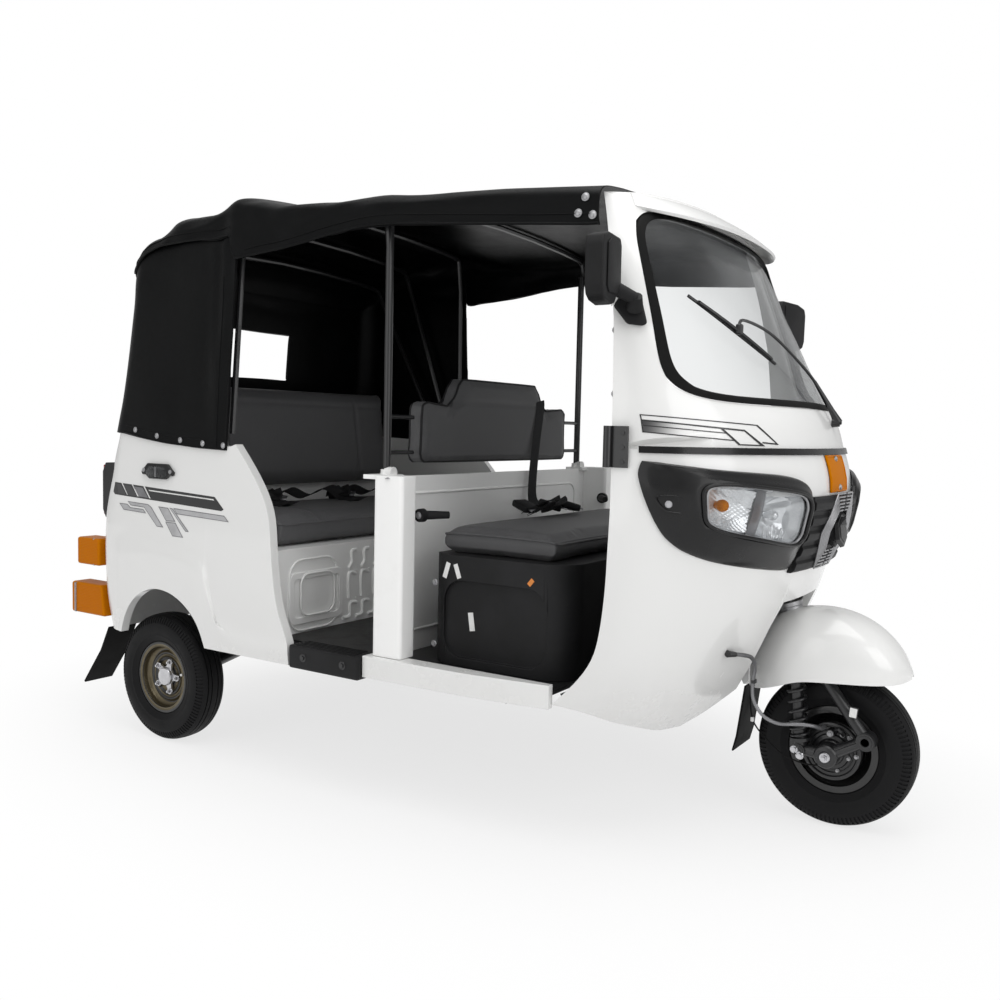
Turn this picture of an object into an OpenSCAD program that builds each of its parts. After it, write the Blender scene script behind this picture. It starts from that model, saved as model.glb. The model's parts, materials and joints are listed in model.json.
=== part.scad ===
// Three-wheeled passenger auto rickshaw with a folding fabric roof.
// Frame: +X forward, +Y left, +Z up. Inside this file x is measured from the rear axle;
// car() then moves the whole vehicle so that its footprint is centred on the origin.

/* [Overall] */
// Length from the rear lamps to the front of the front tyre
overall_l = 2645; // [2500:5:2800]
// Height of the fabric roof
overall_h = 1740; // [1660:5:1820]
// Width over the rear quarters
overall_w = 1324; // [1270:2:1380]
// Distance between the axles
wheelbase = 1985; // [1930:5:2040]
// Distance between the rear wheels' middle planes
track = 1150; // [1130:2:1170]

/* [Wheels] */
// Outer diameter of the tyres
tyre_d = 412; // [396:2:424]
// Section width of the tyres
tyre_w = 108; // [100:1:112]
// Diameter of the bead seat of the rims
bead_d = 203; // [198:1:208]
// Height of the rim flanges over the bead seat
flange_h = 14; // [10:1:18]
// Diameter of the wheel spindles
spindle_d = 28; // [24:1:32]

/* [Steering] */
// Rake of the steering axis from the vertical, in degrees
rake = 18; // [16:0.5:20]
// Distance of the head's lower end behind the front axle
head_back = 150; // [140:1:160]
// Height of the head's lower end above the ground
head_z = 590; // [584:1:600]
// Diameter of the steering column
column_d = 32; // [28:1:36]
// Diameter of the handlebar
bar_d = 24; // [20:1:28]

/* [Body] */
// Thickness of the quarters, the rear panel and the bulkhead
wall = 28; // [22:1:32]
// Thickness of the cowl and the windscreen surround
cowl_wall = 22; // [16:1:28]
// Height of the floor's underside above the ground
floor_z = 378; // [372:1:384]
// Thickness of the floor
floor_t = 10; // [8:1:12]
// Height of the body's lower edge above the ground
skirt_z = 340; // [330:1:346]
// Height of the waistline at the rear quarters
waist_z = 985; // [970:1:1000]
// Height of the joint between the lower cowl and the windscreen surround
joint_z = 992; // [985:1:1000]
// Radius of the rear wheel arches
arch_r = 205; // [190:1:215]
// Radius of the rear corners in plan
corner_r = 70; // [60:1:90]
// Width of the hatch in the rear panel
hatch_w = 560; // [500:5:600]

/* [Seats] */
// Width of the rear cushion and backrest
rear_seat_w = 1090; // [1000:5:1110]
// Thickness of the rear cushion
rear_cushion_h = 108; // [90:1:115]
// Width of the front cushion
front_seat_w = 1000; // [940:5:1030]
// Thickness of the front cushion
front_cushion_h = 78; // [60:1:84]
// Width of the front backrest
backrest_w = 862; // [800:2:880]
// Thickness of the front backrest
backrest_t = 66; // [50:1:72]

/* [Hood] */
// Thickness of the fabric
fabric_t = 5; // [4:0.5:8]
// Diameter of the hood's tubes
tube_d = 22; // [18:1:26]
// Width of the rear window
window_w = 300; // [260:5:340]
// Height of the rear window
window_h = 180; // [150:5:200]

/* [Hidden] */

white = [0.93, 0.93, 0.92];
black = [0.08, 0.08, 0.08];
grey_vinyl = [0.22, 0.22, 0.23];
amber = [0.95, 0.55, 0.05];
steel = [0.6, 0.6, 0.62];

gap = 0.3;
seat_gap = 1;
tyre_r = tyre_d / 2;
front_x = wheelbase + tyre_r;
rear_x = front_x - overall_l;
mid_x = (front_x + rear_x) / 2;
side_y = overall_w / 2;
floor_top = floor_z + floor_t;

// Moves the vehicle from the rear axle's frame to the middle of its footprint
module car() translate([-mid_x, 0, 0]) children();

// Puts a second, mirrored copy on the other side of the middle plane
module both() {
    children();
    mirror([0, 1, 0]) children();
}

function lerp(a, b, t) = a + (b - a) * t;
function flat(rows) = [for (row = rows) each row];
function unit(v) = v / norm(v);

// Rectangle with true round corners, centred on the origin
module round_rect(w, h, r) {
    square([w - 2 * r, h], center = true);
    square([w, h - 2 * r], center = true);
    for (x = [-1, 1], y = [-1, 1])
        translate([x * (w / 2 - r), y * (h / 2 - r)]) circle(r, $fn = 32);
}

// Straight rod between two points
module rod(a, b, r) {
    d = b - a;
    translate(a)
        rotate([0, acos(d.z / norm(d)), atan2(d.y, d.x)])
            cylinder(r = r, h = norm(d), $fn = 24);
}

// Profile in the x-z plane, extruded along y between two planes
module across(y0, y1) translate([0, y1, 0]) rotate([90, 0, 0]) linear_extrude(y1 - y0) children();

// Profile in the y-z plane, extruded along x between two planes
module along(x0, x1) translate([x0, 0, 0]) rotate([90, 0, 90]) linear_extrude(x1 - x0) children();

// Closed wall between an outer and an inner grid of points. Columns run to the right and rows
// upwards as seen from outside; hole(i, j) leaves a cell open, and ring joins the last column
// to the first.
module skin(outer, inner, ring = false, hole = function (i, j) false) {
    rows = len(outer);
    cols = len(outer[0]);
    last = ring ? cols - 1 : cols - 2;
    o = rows * cols;
    has = function (i, j) i >= 0 && i <= rows - 2 && (ring || (j >= 0 && j <= last))
        && !hole(i, (j + cols) % cols);
    faces = [for (i = [0 : rows - 2], j = [0 : last]) if (has(i, j))
        let (k = (j + 1) % cols, p = i * cols + j, q = i * cols + k, r = q + cols, s = p + cols)
        each concat(
            [[p, s, r], [p, r, q], [o + p, o + r, o + s], [o + p, o + q, o + r]],
            has(i - 1, j) ? [] : [[p, q, o + q], [p, o + q, o + p]],
            has(i + 1, j) ? [] : [[r, s, o + s], [r, o + s, o + r]],
            has(i, j - 1) ? [] : [[s, p, o + p], [s, o + p, o + s]],
            has(i, j + 1) ? [] : [[q, r, o + r], [q, o + r, o + q]])];
    polyhedron(concat(flat(outer), flat(inner)), faces, convexity = 8);
}

// Tube swept along a list of points
module tube(path, r, sides = 8) {
    n = len(path);
    dirs = [for (i = [0 : n - 1]) unit(path[min(i + 1, n - 1)] - path[max(i - 1, 0)])];
    side = [for (d = dirs) unit(abs(d.z) > 0.9 ? cross(d, [0, 1, 0]) : cross(d, [0, 0, 1]))];
    rings = [for (i = [0 : n - 1]) let (u = side[i], w = cross(dirs[i], u))
        [for (k = [0 : sides - 1]) let (a = 360 * k / sides) path[i] + r * (cos(a) * u + sin(a) * w)]];
    faces = concat(
        [for (i = [0 : n - 2], k = [0 : sides - 1])
            let (l = (k + 1) % sides, p = i * sides + k, q = i * sides + l)
            each [[p, p + sides, q + sides], [p, q + sides, q]]],
        [[for (k = [0 : sides - 1]) k]],
        [[for (k = [sides - 1 : -1 : 0]) (n - 1) * sides + k]]);
    polyhedron(flat(rings), faces, convexity = 8);
}

// Square point (a, b) of side 2, with its boundary bent to a rounded outline
function squircle(a, b, k) = let (m = max(abs(a), abs(b)))
    m == 0 ? [0, 0] : let (n = (abs(a / m) ^ k + abs(b / m) ^ k) ^ (1 / k)) [a / n, b / n];

// Points on the boundary of that square, anticlockwise, side by side
function square_loop(per_side) = [for (side = [0 : 3], i = [0 : per_side - 1])
    let (t = 2 * i / per_side - 1) [[t, -1], [1, t], [-t, 1], [-1, -t]][side]];

// The cowl's form. Columns: height, half width, rear edge behind the front axle, nose behind it
COWL = [
    [262, 470, 545, 295], [300, 530, 545, 262], [355, 592, 545, 220], [400, 596, 500, 196],
    [450, 597, 440, 172], [512, 598, 420, 145], [600, 599, 407, 107], [675, 600, 401, 88],
    [740, 600, 399, 62], [790, 600, 397, 43], [850, 600, 395, 30], [885, 600, 395, 27], [919, 600, 395, 29],
        [955, 599, 396, 37], [992, 598, 397, 50],
    [1063, 594, 399, 70], [1120, 590, 402, 105], [1300, 572, 414, 203], [1450, 548, 440, 283],
    [1539, 530, 460, 333], [1600, 515, 477, 370], [1660, 500, 500, 405]];
cowl_power = 2.1;
function cowl_w(z) = lookup(z, [for (l = COWL) [l[0], l[1]]]);
function cowl_rear(z) = wheelbase - lookup(z, [for (l = COWL) [l[0], l[2]]]);
function cowl_nose(z) = wheelbase - lookup(z, [for (l = COWL) [l[0], l[3]]]);

// Point on the cowl: s runs from -1 at the right edge to 1 at the left, d is the distance outside
function cowl_pt(s, z, d) = let (
        w = cowl_w(z), x0 = cowl_rear(z), l = cowl_nose(z) - x0, p = cowl_power,
        c = (1 - min(1, abs(s)) ^ p) ^ (1 / p),
        n = [abs(c) ^ (p - 1) / l, sign(s) * abs(s) ^ (p - 1) / w, 0])
    [x0 + l * c, w * s, z] + d * n / norm(n);
function cowl_at(y, z, d) = cowl_pt(y / cowl_w(z), z, d);
// Half width inside the cowl at a place x, z
function cowl_inside(x, z, d) = let (t = (x - cowl_rear(z)) / (cowl_nose(z) - cowl_rear(z)))
    t <= 0 ? cowl_w(z) - d : cowl_w(z) * (1 - min(1, t) ^ cowl_power) ^ (1 / cowl_power) - d;

COLUMNS = [0, 0.1, 0.2, 0.245, 0.265, 0.34, 0.42, 0.5, 0.58, 0.66, 0.74, 0.81, 0.87, 0.92, 0.955, 0.98, 0.994, 1];
function mirrored(half) = concat([for (i = [len(half) - 1 : -1 : 1]) -half[i]], half);
cowl_s = mirrored(COLUMNS);

// Lower edge of the cowl. Columns: share of the half width, height
HEM = [[0, 600], [0.245, 600], [0.265, 356], [0.42, 304], [0.58, 264], [0.74, 262], [0.92, 310], [1, 355]];
function hem(s) = lookup(abs(s), HEM);

module cowl() color(white) car() {
    level = 675;
    heights = [level, 698, 720, 740, 758, 774, 790, 808, 828, 850, 884, 919, 955, joint_z];
    row = function (i, s) i < 5 ? lerp(hem(s), level, i / 5) : heights[i - 5];
    grid = function (d) [for (i = [0 : 4 + len(heights)]) [for (s = cowl_s) cowl_pt(s, row(i, s), d)]];
    skin(grid(0), grid(-cowl_wall));
}

// The windscreen's outline, in shares of the cowl's half width and in heights
screen_s = 0.93;
screen_low = 1106;
screen_high = 1580;
screen_bend = 9;
roof_z = overall_h - 102;
function screen_pt(a, b, grow, d) = let (
        q = squircle(a, b, screen_bend),
        z = lerp(screen_low, screen_high, (q[1] + 1) / 2) + grow * q[1])
    cowl_pt(q[0] * (screen_s + grow / 560), z, d);

// The visor's upper and under face. Columns: drop below the surround's top, distance out
visor_s = 0.9;
VISOR_TOP = [[4, -6], [14, 16], [36, 40], [66, 58]];
VISOR_UNDER = [[32, -8], [38, 6], [54, 30], [74, 52]];

module screen_surround() color(white) car() {
    loop = square_loop(12);
    seal = 3;
    steps = 4;
    top_z = function (s) roof_z - 28 * s ^ 2;
    pt = function (ab, t, d) let (
            q = squircle(ab[0], ab[1], screen_bend),
            s = lerp(q[0] * (screen_s + seal / 560), ab[0], t),
            zi = lerp(screen_low, screen_high, (q[1] + 1) / 2) + seal * q[1],
                zo = lerp(joint_z + gap, top_z(ab[0]), (ab[1] + 1) / 2))
        cowl_pt(s, lerp(zi, zo, t), d);
    grid = function (d) [for (i = [steps : -1 : 0]) [for (ab = loop) pt(ab, i / steps, d)]];
    skin(grid(0), grid(-cowl_wall), ring = true);
    // peak over the glass, from one pillar to the other
    peak = function (rows, root) [for (q = rows) [for (i = [7 : -1 : -7]) let (s = i / 7, end = s ^ 4)
        cowl_pt(s * visor_s, top_z(s * visor_s) - q[0] * (1 - 0.45 * end), q[1] < 0 ? q[1] : lerp(q[1], root, end))]];
    skin(peak(VISOR_TOP, 2), peak(VISOR_UNDER, -10));
}

module windscreen() color([0.7, 0.8, 0.82, 0.35]) car() {
    n = 12;
    grid = function (d) [for (i = [0 : n]) [for (j = [0 : n]) screen_pt(2 * j / n - 1, 2 * i / n - 1, -16 - gap, d)]];
    skin(grid(-8), grid(-13));
}

module screen_seal() color(black) car() {
    loop = square_loop(12);
    grid = function (d) [for (g = [2, -16]) [for (ab = loop) screen_pt(ab[0], ab[1], g, d)]];
    skin(grid(3), grid(-14), ring = true);
}

module trim_strip() color(black) car() {
    half_h = 8;
    s_end = 0.985;
    grid = function (d) [for (z = [joint_z - half_h, joint_z + half_h]) [for (s = cowl_s) cowl_pt(s * s_end, z, d)]];
    skin(grid(seat_gap + 4), grid(seat_gap));
}

// Lamp openings in the bezels and the bezels themselves, on the left side.
// The bezel's outline, from its lower front corner to the rear; columns: y, height
BEZEL = [[206, 692], [260, 696], [350, 707], [440, 722], [499, 737], [542, 760], [555, 775], [568, 792], [582, 840],
    [589, 890], [591, 915], [592, 940], [588, 966], [576, 964], [560, 960], [530, 955], [500, 950], [430, 944],
        [360, 940], [290, 934], [240, 922],
    [222, 911], [214, 903], [208, 896], [197, 850], [196, 790], [196, 775], [196, 760], [197, 730], [199, 702]];
// Corners of the lamp opening: lower front, lower rear, upper rear, upper front
LENS = [[226, 756], [508, 810], [518, 920], [226, 886]];
bezel_bend = 5;
function patch(corners, a, b) = let (q = squircle(a, b, bezel_bend), u = (q[0] + 1) / 2, v = (q[1] + 1) / 2)
    lerp(lerp(corners[0], corners[1], u), lerp(corners[3], corners[2], u), v);
function patch_at(corners, ab, d) = let (q = patch(corners, ab[0], ab[1])) cowl_at(q[0], q[1], d);

module lamp_bezels() color(black) car() both() {
    middle = (LENS[0] + LENS[1] + LENS[2] + LENS[3]) / 4;
    half = [(LENS[1][0] - LENS[0][0]) / 2, (LENS[3][1] - LENS[0][1]) / 2];
    // the lens edge in line with each point of the outline
    lens_edge = function (b) let (v = [(b[0] - middle[0]) / half[0], (b[1] - middle[1]) / half[1]],
        m = max(abs(v[0]), abs(v[1])))
        patch(LENS, 1.03 * v[0] / m, 1.03 * v[1] / m);
    pt = function (b, t, d) let (q = lerp(b, lens_edge(b), t)) cowl_at(q[0], q[1], d);
    // the face from the outline in: share of the way to the lens, distance out
    face = [[0, 4], [0.12, 14], [0.45, 17], [0.72, 24], [0.9, 24], [1, 12]];
    outer = [for (f = face) [for (b = BEZEL) pt(b, f[0], f[1] + seat_gap)]];
    back = 2.8 * seat_gap;
    inner = [for (f = face) [for (b = BEZEL) pt(b, f[0], back)]];
    skin(outer, inner, ring = true);
}

module headlamps() color([0.85, 0.88, 0.9, 0.6]) car() both() {
    n = 8;
    inset = 0.96;
    pt = function (i, j, d) let (q = patch(LENS, inset * (2 * j / n - 1),
        inset * (2 * i / n - 1))) cowl_at(q[0], q[1], d);
    bulge = function (i, j) 12 + 8 * (1 - abs(2 * j / n - 1) ^ 3) * (1 - abs(2 * i / n - 1) ^ 3);
    skin([for (i = [0 : n]) [for (j = [0 : n]) pt(i, j, bulge(i, j))]],
        [for (i = [0 : n]) [for (j = [0 : n]) pt(i, j, 1.5 * seat_gap)]]);
}

module nose_grille() color(black) car() {
    half_w = 192;
    low = 684;
    high = 880;
    n = 8;
    fins = 5;
    fin_foot = 12;
    fin_crest = 19;
    badge_r = 42;
    badge_z = 785;
    // rows of one fin: share of its pitch, distance out
    fin = [[0, fin_foot], [0.2, fin_crest], [0.6, fin_crest], [0.8, fin_foot]];
    rows = concat([for (f = [0 : fins - 1], q = fin) [lerp(low, high, (f + q[0]) / fins), q[1]]], [[high, fin_foot]]);
    pt = function (r, j, d) cowl_at(half_w * (2 * j / n - 1), r[0], d);
    skin([for (r = rows) [for (j = [0 : n]) pt(r, j, r[1])]], [for (r = rows) [for (j = [0 : n]) pt(r, j,
        seat_gap)]]);
    lean = atan((cowl_nose(badge_z + badge_r) - cowl_nose(badge_z - badge_r)) / (2 * badge_r));
    translate([cowl_nose(badge_z) + fin_foot - 4, 0, badge_z]) rotate([0, 90 + lean, 0]) cylinder(r = badge_r,
        h = 22, $fn = 6);
}

module front_plate() color(amber) car() {
    half_w = 75;
    low = 886;
    high = joint_z - 9;
    n = 4;
    heights = [low, 902, 919, 955, high];
    grid = function (d) [for (z = heights) [for (j = [0 : n]) cowl_at(half_w * (2 * j / n - 1), z, d)]];
    skin(grid(5), grid(seat_gap));
}

hinge_z = [948, 1045];
hinge_bore_r = 5;
hinge_r = 10;
hinge_x = wheelbase - 402;
hinge_y = cowl_w(hinge_z[0]) + gap + hinge_r;

module door_hinges() color(black) car() both() {
    difference() {
        union() {
            translate([hinge_x, hinge_y, hinge_z[0]]) cylinder(r = hinge_r, h = hinge_z[1] - hinge_z[0], $fn = 48);
            translate([hinge_x, hinge_y - hinge_r, hinge_z[0]]) cube([50, 5, hinge_z[1] - hinge_z[0]]);
        }
        translate([hinge_x, hinge_y, hinge_z[0] - 1]) cylinder(r = hinge_bore_r,
            h = hinge_z[1] - hinge_z[0] + 2, $fn = 48);
    }
}

module wiper() color(black) car() {
    off = 9;
    tube([for (t = [0 : 0.25 : 1]) cowl_at(lerp(-350, -60, t), lerp(1400, 1215, t), off)], 5);
    tube([for (t = [0 : 0.2 : 1]) cowl_at(lerp(-205, 20, t), lerp(1306, 1070, t), off + 9)], 4.5);
    rod(cowl_at(20, 1070, 3 * seat_gap), cowl_at(20, 1070, off + 14), 11);
}

module mirrors() color(black) car() both() {
    shell = [46, 160, 150];
    arm_z = 1318;
    translate([wheelbase - 430, 590, 1322]) rotate([0, 0, -12])
        along(0, shell[0]) translate([shell[1] / 2, shell[2] / 2]) round_rect(shell[1], shell[2], 24);
    a = cowl_at(566, arm_z, 2);
    rod([a.x - 2, a.y + 2.2, arm_z], [wheelbase - 405, 606, arm_z + 14], 11);
}

module dashboard() color(black) car() {
    low = 1042;
    high = 1094;
    back_x = wheelbase - 265;
    half = [for (s = [0 : 0.08 : 0.8]) cowl_pt(s, high, -cowl_wall - 2.4)];
    front = concat([for (i = [len(half) - 1 : -1 : 1]) [half[i].x, -half[i].y]], [for (p = half) [p.x, p.y]]);
    edge = max([for (p = front) p.y]);
    translate([0, 0, low]) linear_extrude(high - low)
        polygon(concat(front, [[back_x, edge], [back_x, -edge]]));
}

// Body sides behind the door. Heights against half width and against the rear end
QUARTER_Y = [[340, -20], [500, -8], [700, -12], [1000, -36]];
QUARTER_X = [[340, -268], [513, -294], [732, -293], [1000, -247]];
function quarter_y(z) = side_y + lookup(z, QUARTER_Y);
function quarter_x(z) = lookup(z, QUARTER_X);

rear_half = 500;
quarter_s = [-420, 600];

// Point on the quarter: s is x along the side and runs on round the rear corner, d is outside
function quarter_pt(s, z, d) = let (
        r = corner_r, cx = quarter_x(z) + r, cy = quarter_y(z) - r,
        corner_s = cx - r * PI / 2, a = (cx - s) / r * 180 / PI)
    a <= 0 ? [s, cy + r + d, z]
    : a <= 90 ? [cx - (r + d) * sin(a), cy + (r + d) * cos(a), z]
    : [cx - r - d, lerp(cy, rear_half + gap, (corner_s - s) / (corner_s - quarter_s[0])), z];

// Front edge of the quarter at the doorway, and its top. Columns: height, x
DOOR_EDGE = [[340, 600], [410, 593], [436, 569], [521, 544], [695, 522], [797, 510], [834, 492],
    [881, 438], [938, 374], [970, 352], [1000, 322]];
function door_edge(z) = lookup(z, DOOR_EDGE);
arch_x = 40;
arch_z = 300;
function arch_low(x) = let (t = arch_r ^ 2 - (x - arch_x) ^ 2) t <= 0 ? skirt_z : max(skirt_z, arch_z + sqrt(t));

module quarters() color(white) car() both() {
    // places along the lower edge, closer at the arch
    low_s = [quarter_s[0], -380, -340, -310, -280, -250, -205, -180, -163, -150, -125, -90, -50, 0, 40, 90, 140, 180,
        205, 225, 241, 243, 300, 400, 500, 600];
    n = len(low_s) - 1;
    // upper edge of the flare over the wheel and along the sill: place, height
    flare_edge = [[-420, 600], [-250, 622], [-180, 640], [-40, 655], [150, 640], [225, 612], [243, 590], [300,
        430], [400, 408],
        [600, 404]];
    flare = function (base) lookup(base, [[-205, 0], [-163, 8]]);
    flare_fall = 24;
    flare_rows = 3;
    rows = 9;
    top = function (u) waist_z + lookup(u, [[0, 8], [0.2, 10], [0.6, -8], [0.9, -26], [1, -16]]);
    arch_front = 243;
    pt = function (i, j, d) let (
            base = low_s[j],
            edge = lookup(base, flare_edge),
            z = i < flare_rows ? lerp(arch_low(base), edge - flare_fall, i / (flare_rows - 1))
                : lerp(edge, top((base - quarter_s[0]) / (quarter_s[1] - quarter_s[0])),
                    (i - flare_rows) / (rows - flare_rows)),
            ahead = (base - arch_front) / (quarter_s[1] - arch_front))
        quarter_pt(ahead < 0 ? base : lerp(arch_front, door_edge(z), ahead), z, d + (i < flare_rows
            ? flare(base) : 0));
    outer = [for (i = [0 : rows]) [for (j = [n : -1 : 0]) pt(i, j, 0)]];
    inner = [for (i = [0 : rows]) [for (j = [n : -1 : 0]) pt(i, j, -wall)]];
    skin(outer, inner);
}

module rear_panel() color(white) car() {
    ys = [-rear_half, -hatch_w / 2, 0, hatch_w / 2, rear_half];
    zs = [skirt_z, hatch_low, 513, 640, 732, hatch_top, waist_z + 8];
    pt = function (y, z, d) [quarter_x(z) - d, y, z];
    grid = function (d) [for (z = zs) [for (j = [len(ys) - 1 : -1 : 0]) pt(ys[j], z, d)]];
    skin(grid(0), grid(-wall), hole = function (i, j) i >= 1 && i <= 4 && (j == 1 || j == 2));
}

hatch_top = 790;
hatch_low = 425;
hatch_t = 10;
pin_r = 4;
hatch_axis = [quarter_x(hatch_top) - 16, hatch_top + 14];
lug_y = 180;

module hatch_hinges() color(steel) car() both() {
    for (y = [lug_y - 26, lug_y + 20])
        across(y, y + 6) polygon([[hatch_axis[0] - 8, hatch_axis[1] - 6], [hatch_axis[0] + 8, hatch_axis[1] - 6],
            [quarter_x(hatch_axis[1] + 12) - gap, hatch_axis[1] + 12], [hatch_axis[0] - 4, hatch_axis[1] + 10]]);
    rod([hatch_axis[0], lug_y - 26, hatch_axis[1]], [hatch_axis[0], lug_y + 26, hatch_axis[1]], pin_r);
}

module hatch() color(white) car() {
    margin = 6;
    x0 = quarter_x(640) - 12;
    difference() {
        union() {
            translate([x0, 0, (hatch_low + hatch_top) / 2])
                rotate([90, 0, 90]) linear_extrude(hatch_t)
                    round_rect(hatch_w - 2 * margin, hatch_top - hatch_low - 2 * margin, 30);
            both() {
                rod([hatch_axis[0], lug_y - 18, hatch_axis[1]], [hatch_axis[0], lug_y + 18, hatch_axis[1]],
                    pin_r + 3);
                translate([x0, lug_y - 18, hatch_top - 30]) cube([5, 36, hatch_axis[1] - hatch_top + 30]);
            }
        }
        both() rod([hatch_axis[0], lug_y - 20, hatch_axis[1]], [hatch_axis[0], lug_y + 20, hatch_axis[1]],
            pin_r + 0.1);
    }
}

module engine_block() color(steel) car()
    translate([-190, -230, 225]) cube([430, 460, cross_z - 16 - gap - 225]);

module chassis_frame() color(black) car() {
    rail_y = 300;
    rail_r = 22;
    tail_x = -222;
    front_end = wheelbase - 560;
    foot_x = wheelbase - 333;
    both() {
        rod([tail_x, rail_y, rail_z], [front_end, rail_y, rail_z], rail_r);
        rod([90, rail_y, rail_z], [90, rail_y, cross_z], 16);
        rod([front_end, rail_y, rail_z], [front_end, 0, rail_z], rail_r);
        rod([arm_x, rail_y, rail_z], [arm_x, arm_y - gap, rail_z], rail_r);
        for (x = [620, 900, 1300]) rod([x, rail_y, rail_z], [x, 580, rail_z], 16);
    }
    rod([90, -rail_y, cross_z], [90, rail_y, cross_z], 16);
    rod([tail_x, -rail_y, rail_z], [tail_x, rail_y, rail_z], 16);
    rod([front_end, 0, rail_z - 8], [foot_x + 4, 0, rail_z - 8], 28);
    difference() {
        union() {
            rod([foot_x, 0, rail_z - 10], [head_x(700), 0, 700], 27);
            head() translate([0, 0, head_low]) cylinder(r = head_r, h = head_len, $fn = 48);
        }
        head() translate([0, 0, head_low - 40]) cylinder(r = column_d / 2 + 0.1, h = head_len + 80, $fn = 48);
    }
}

// Side rails, and the pivots of the trailing arms on them
rail_z = floor_z - 30;
cross_z = 600;
arm_x = 290;
arm_y = 428;

// Steering head
head_r = 30;
head_low = 62;
head_len = 130;
function head_x(z) = wheelbase - head_back - (z - head_z) * tan(rake);
module head() translate([wheelbase - head_back, 0, head_z]) rotate([0, -rake, 0]) children();

module floor_pan() color(black) car()
    translate([bulkhead_x[0], -584, floor_z]) cube([wheelbase - 545 - bulkhead_x[0], 1168, floor_t]);

module floor_mats() color(black) car() {
    mat_t = 6;
    translate([484, -570, floor_top + gap]) cube([384, 1140, mat_t]);
    translate([1450, -400, floor_top - 7]) cube([80, 800, mat_t]);
}

module toe_board() color(black) car() {
    path = [[wheelbase - 540, floor_top - 12], [wheelbase - 430, floor_top - 6], [wheelbase - 340, floor_top + 66],
        [wheelbase - 285, floor_top + 180], [wheelbase - 262, floor_top + 290]];
    n = 8;
    t = 8;
    pt = function (p, j, d) let (w = cowl_inside(p[0] + 8, max(p[1] - 4, 380), cowl_wall + 15)) [p[0] + d,
        w * (2 * j / n - 1), p[1] - d];
    skin([for (p = path) [for (j = [0 : n]) pt(p, j, t)]], [for (p = path) [for (j = [0 : n]) pt(p, j, 0)]]);
}

sill_out = side_y - 22;
sill_in = 584 + gap;
step_x = [606, 868];
module sills() color(white) car() both()
    translate([0, 0, skirt_z + 5]) linear_extrude(60)
        polygon([[step_x[1] + gap, sill_in], [cowl_rear(355) - gap, sill_in], [cowl_rear(355) - gap, 606],
            [1200, sill_out - 6], [step_x[1] + gap, sill_out]]);

module steps() color(black) car() both()
    translate([step_x[0], sill_in, skirt_z - 4]) cube([step_x[1] - step_x[0], side_y - 4 - sill_in, 68]);

// Engine cover: wall under the rear seat, deck that carries the cushion, and plate behind the backrest
bulkhead_x = [460, 478];
deck_z = [640, 655];
backrest_mid = [-62, 985];
backrest_size = [84, 400];
backrest_lean = 9;
module bulkhead() color(white) car() {
    half_w = 584;
    low = floor_top + gap;
    edge = [for (z = [low, 420, 500, deck_z[1]]) [quarter_y(z) - wall - 0.9 * seat_gap, z]];
    along(bulkhead_x[0], bulkhead_x[1])
        polygon(concat(edge, [for (i = [len(edge) - 1 : -1 : 0]) [-edge[i].x, edge[i].y]]));
    both() along(bulkhead_x[1], bulkhead_x[1] + 6) translate([410, 500]) difference() {
        round_rect(240, 160, 26);
        round_rect(200, 120, 16);
    }
    across(-half_w, half_w) {
        translate([-80, deck_z[0]]) square([bulkhead_x[0] + 80, deck_z[1] - deck_z[0]]);
        translate(backrest_mid) rotate(backrest_lean)
            translate([-backrest_size[0] / 2 - gap - 12, -336]) square([12, 486]);
    }
}

post_x = [885, 985];
module partition() color(white) car() {
    top = 900;
    panel_y = 576;
    panel_x = [868, 892];
    along(panel_x[0], panel_x[1]) translate([0, (floor_top + gap + top - 6) / 2])
        square([2 * panel_y, top - 6 - floor_top - gap], center = true);
    both() translate([0, 0, skirt_z + 66]) linear_extrude(top - skirt_z - 66)
        translate([(post_x[0] + post_x[1]) / 2, (panel_y + side_y - 40) / 2 - 10])
            round_rect(post_x[1] - post_x[0], side_y - 40 - panel_y + 20, 12);
    both() translate([838, 520, top - 12]) cube([70, 90, 12]);
}

module rear_cushion() color(grey_vinyl) car() {
    x = [-10, 455];
    low = deck_z[1] + gap;
    across(-rear_seat_w / 2, rear_seat_w / 2) translate([(x[0] + x[1]) / 2, low + rear_cushion_h / 2])
        round_rect(x[1] - x[0], rear_cushion_h, 30);
}

module rear_backrest() color(grey_vinyl) car() {
    across(-rear_seat_w / 2, rear_seat_w / 2) translate(backrest_mid) rotate(backrest_lean)
        round_rect(backrest_size[0], backrest_size[1], 30);
}

seat_box = [990, wheelbase - 545];
seat_top = 690;
module seat_base() color(black) car() {
    w = 1040;
    l = seat_box[1] - seat_box[0];
    low = floor_top + gap;
    recess = [l - 124, 210];
    recess_depth = 14;
    middle = (seat_box[0] + seat_box[1]) / 2;
    difference() {
        translate([middle, 0, low]) linear_extrude(seat_top - low) difference() {
            round_rect(l, w, 90);
            translate([-l / 2, 0]) square([40, w + 2], center = true);
        }
        both() across(w / 2 - recess_depth, w / 2 + 1)
            translate([middle, low + 24 + recess[1] / 2]) round_rect(recess[0], recess[1], 60);
    }
}

module front_cushion() color(grey_vinyl) car() {
    x = [1000, wheelbase - 585];
    across(-front_seat_w / 2, front_seat_w / 2) translate([(x[0] + x[1]) / 2, seat_top + gap + front_cushion_h / 2])
        round_rect(x[1] - x[0], front_cushion_h, 26);
}

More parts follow.
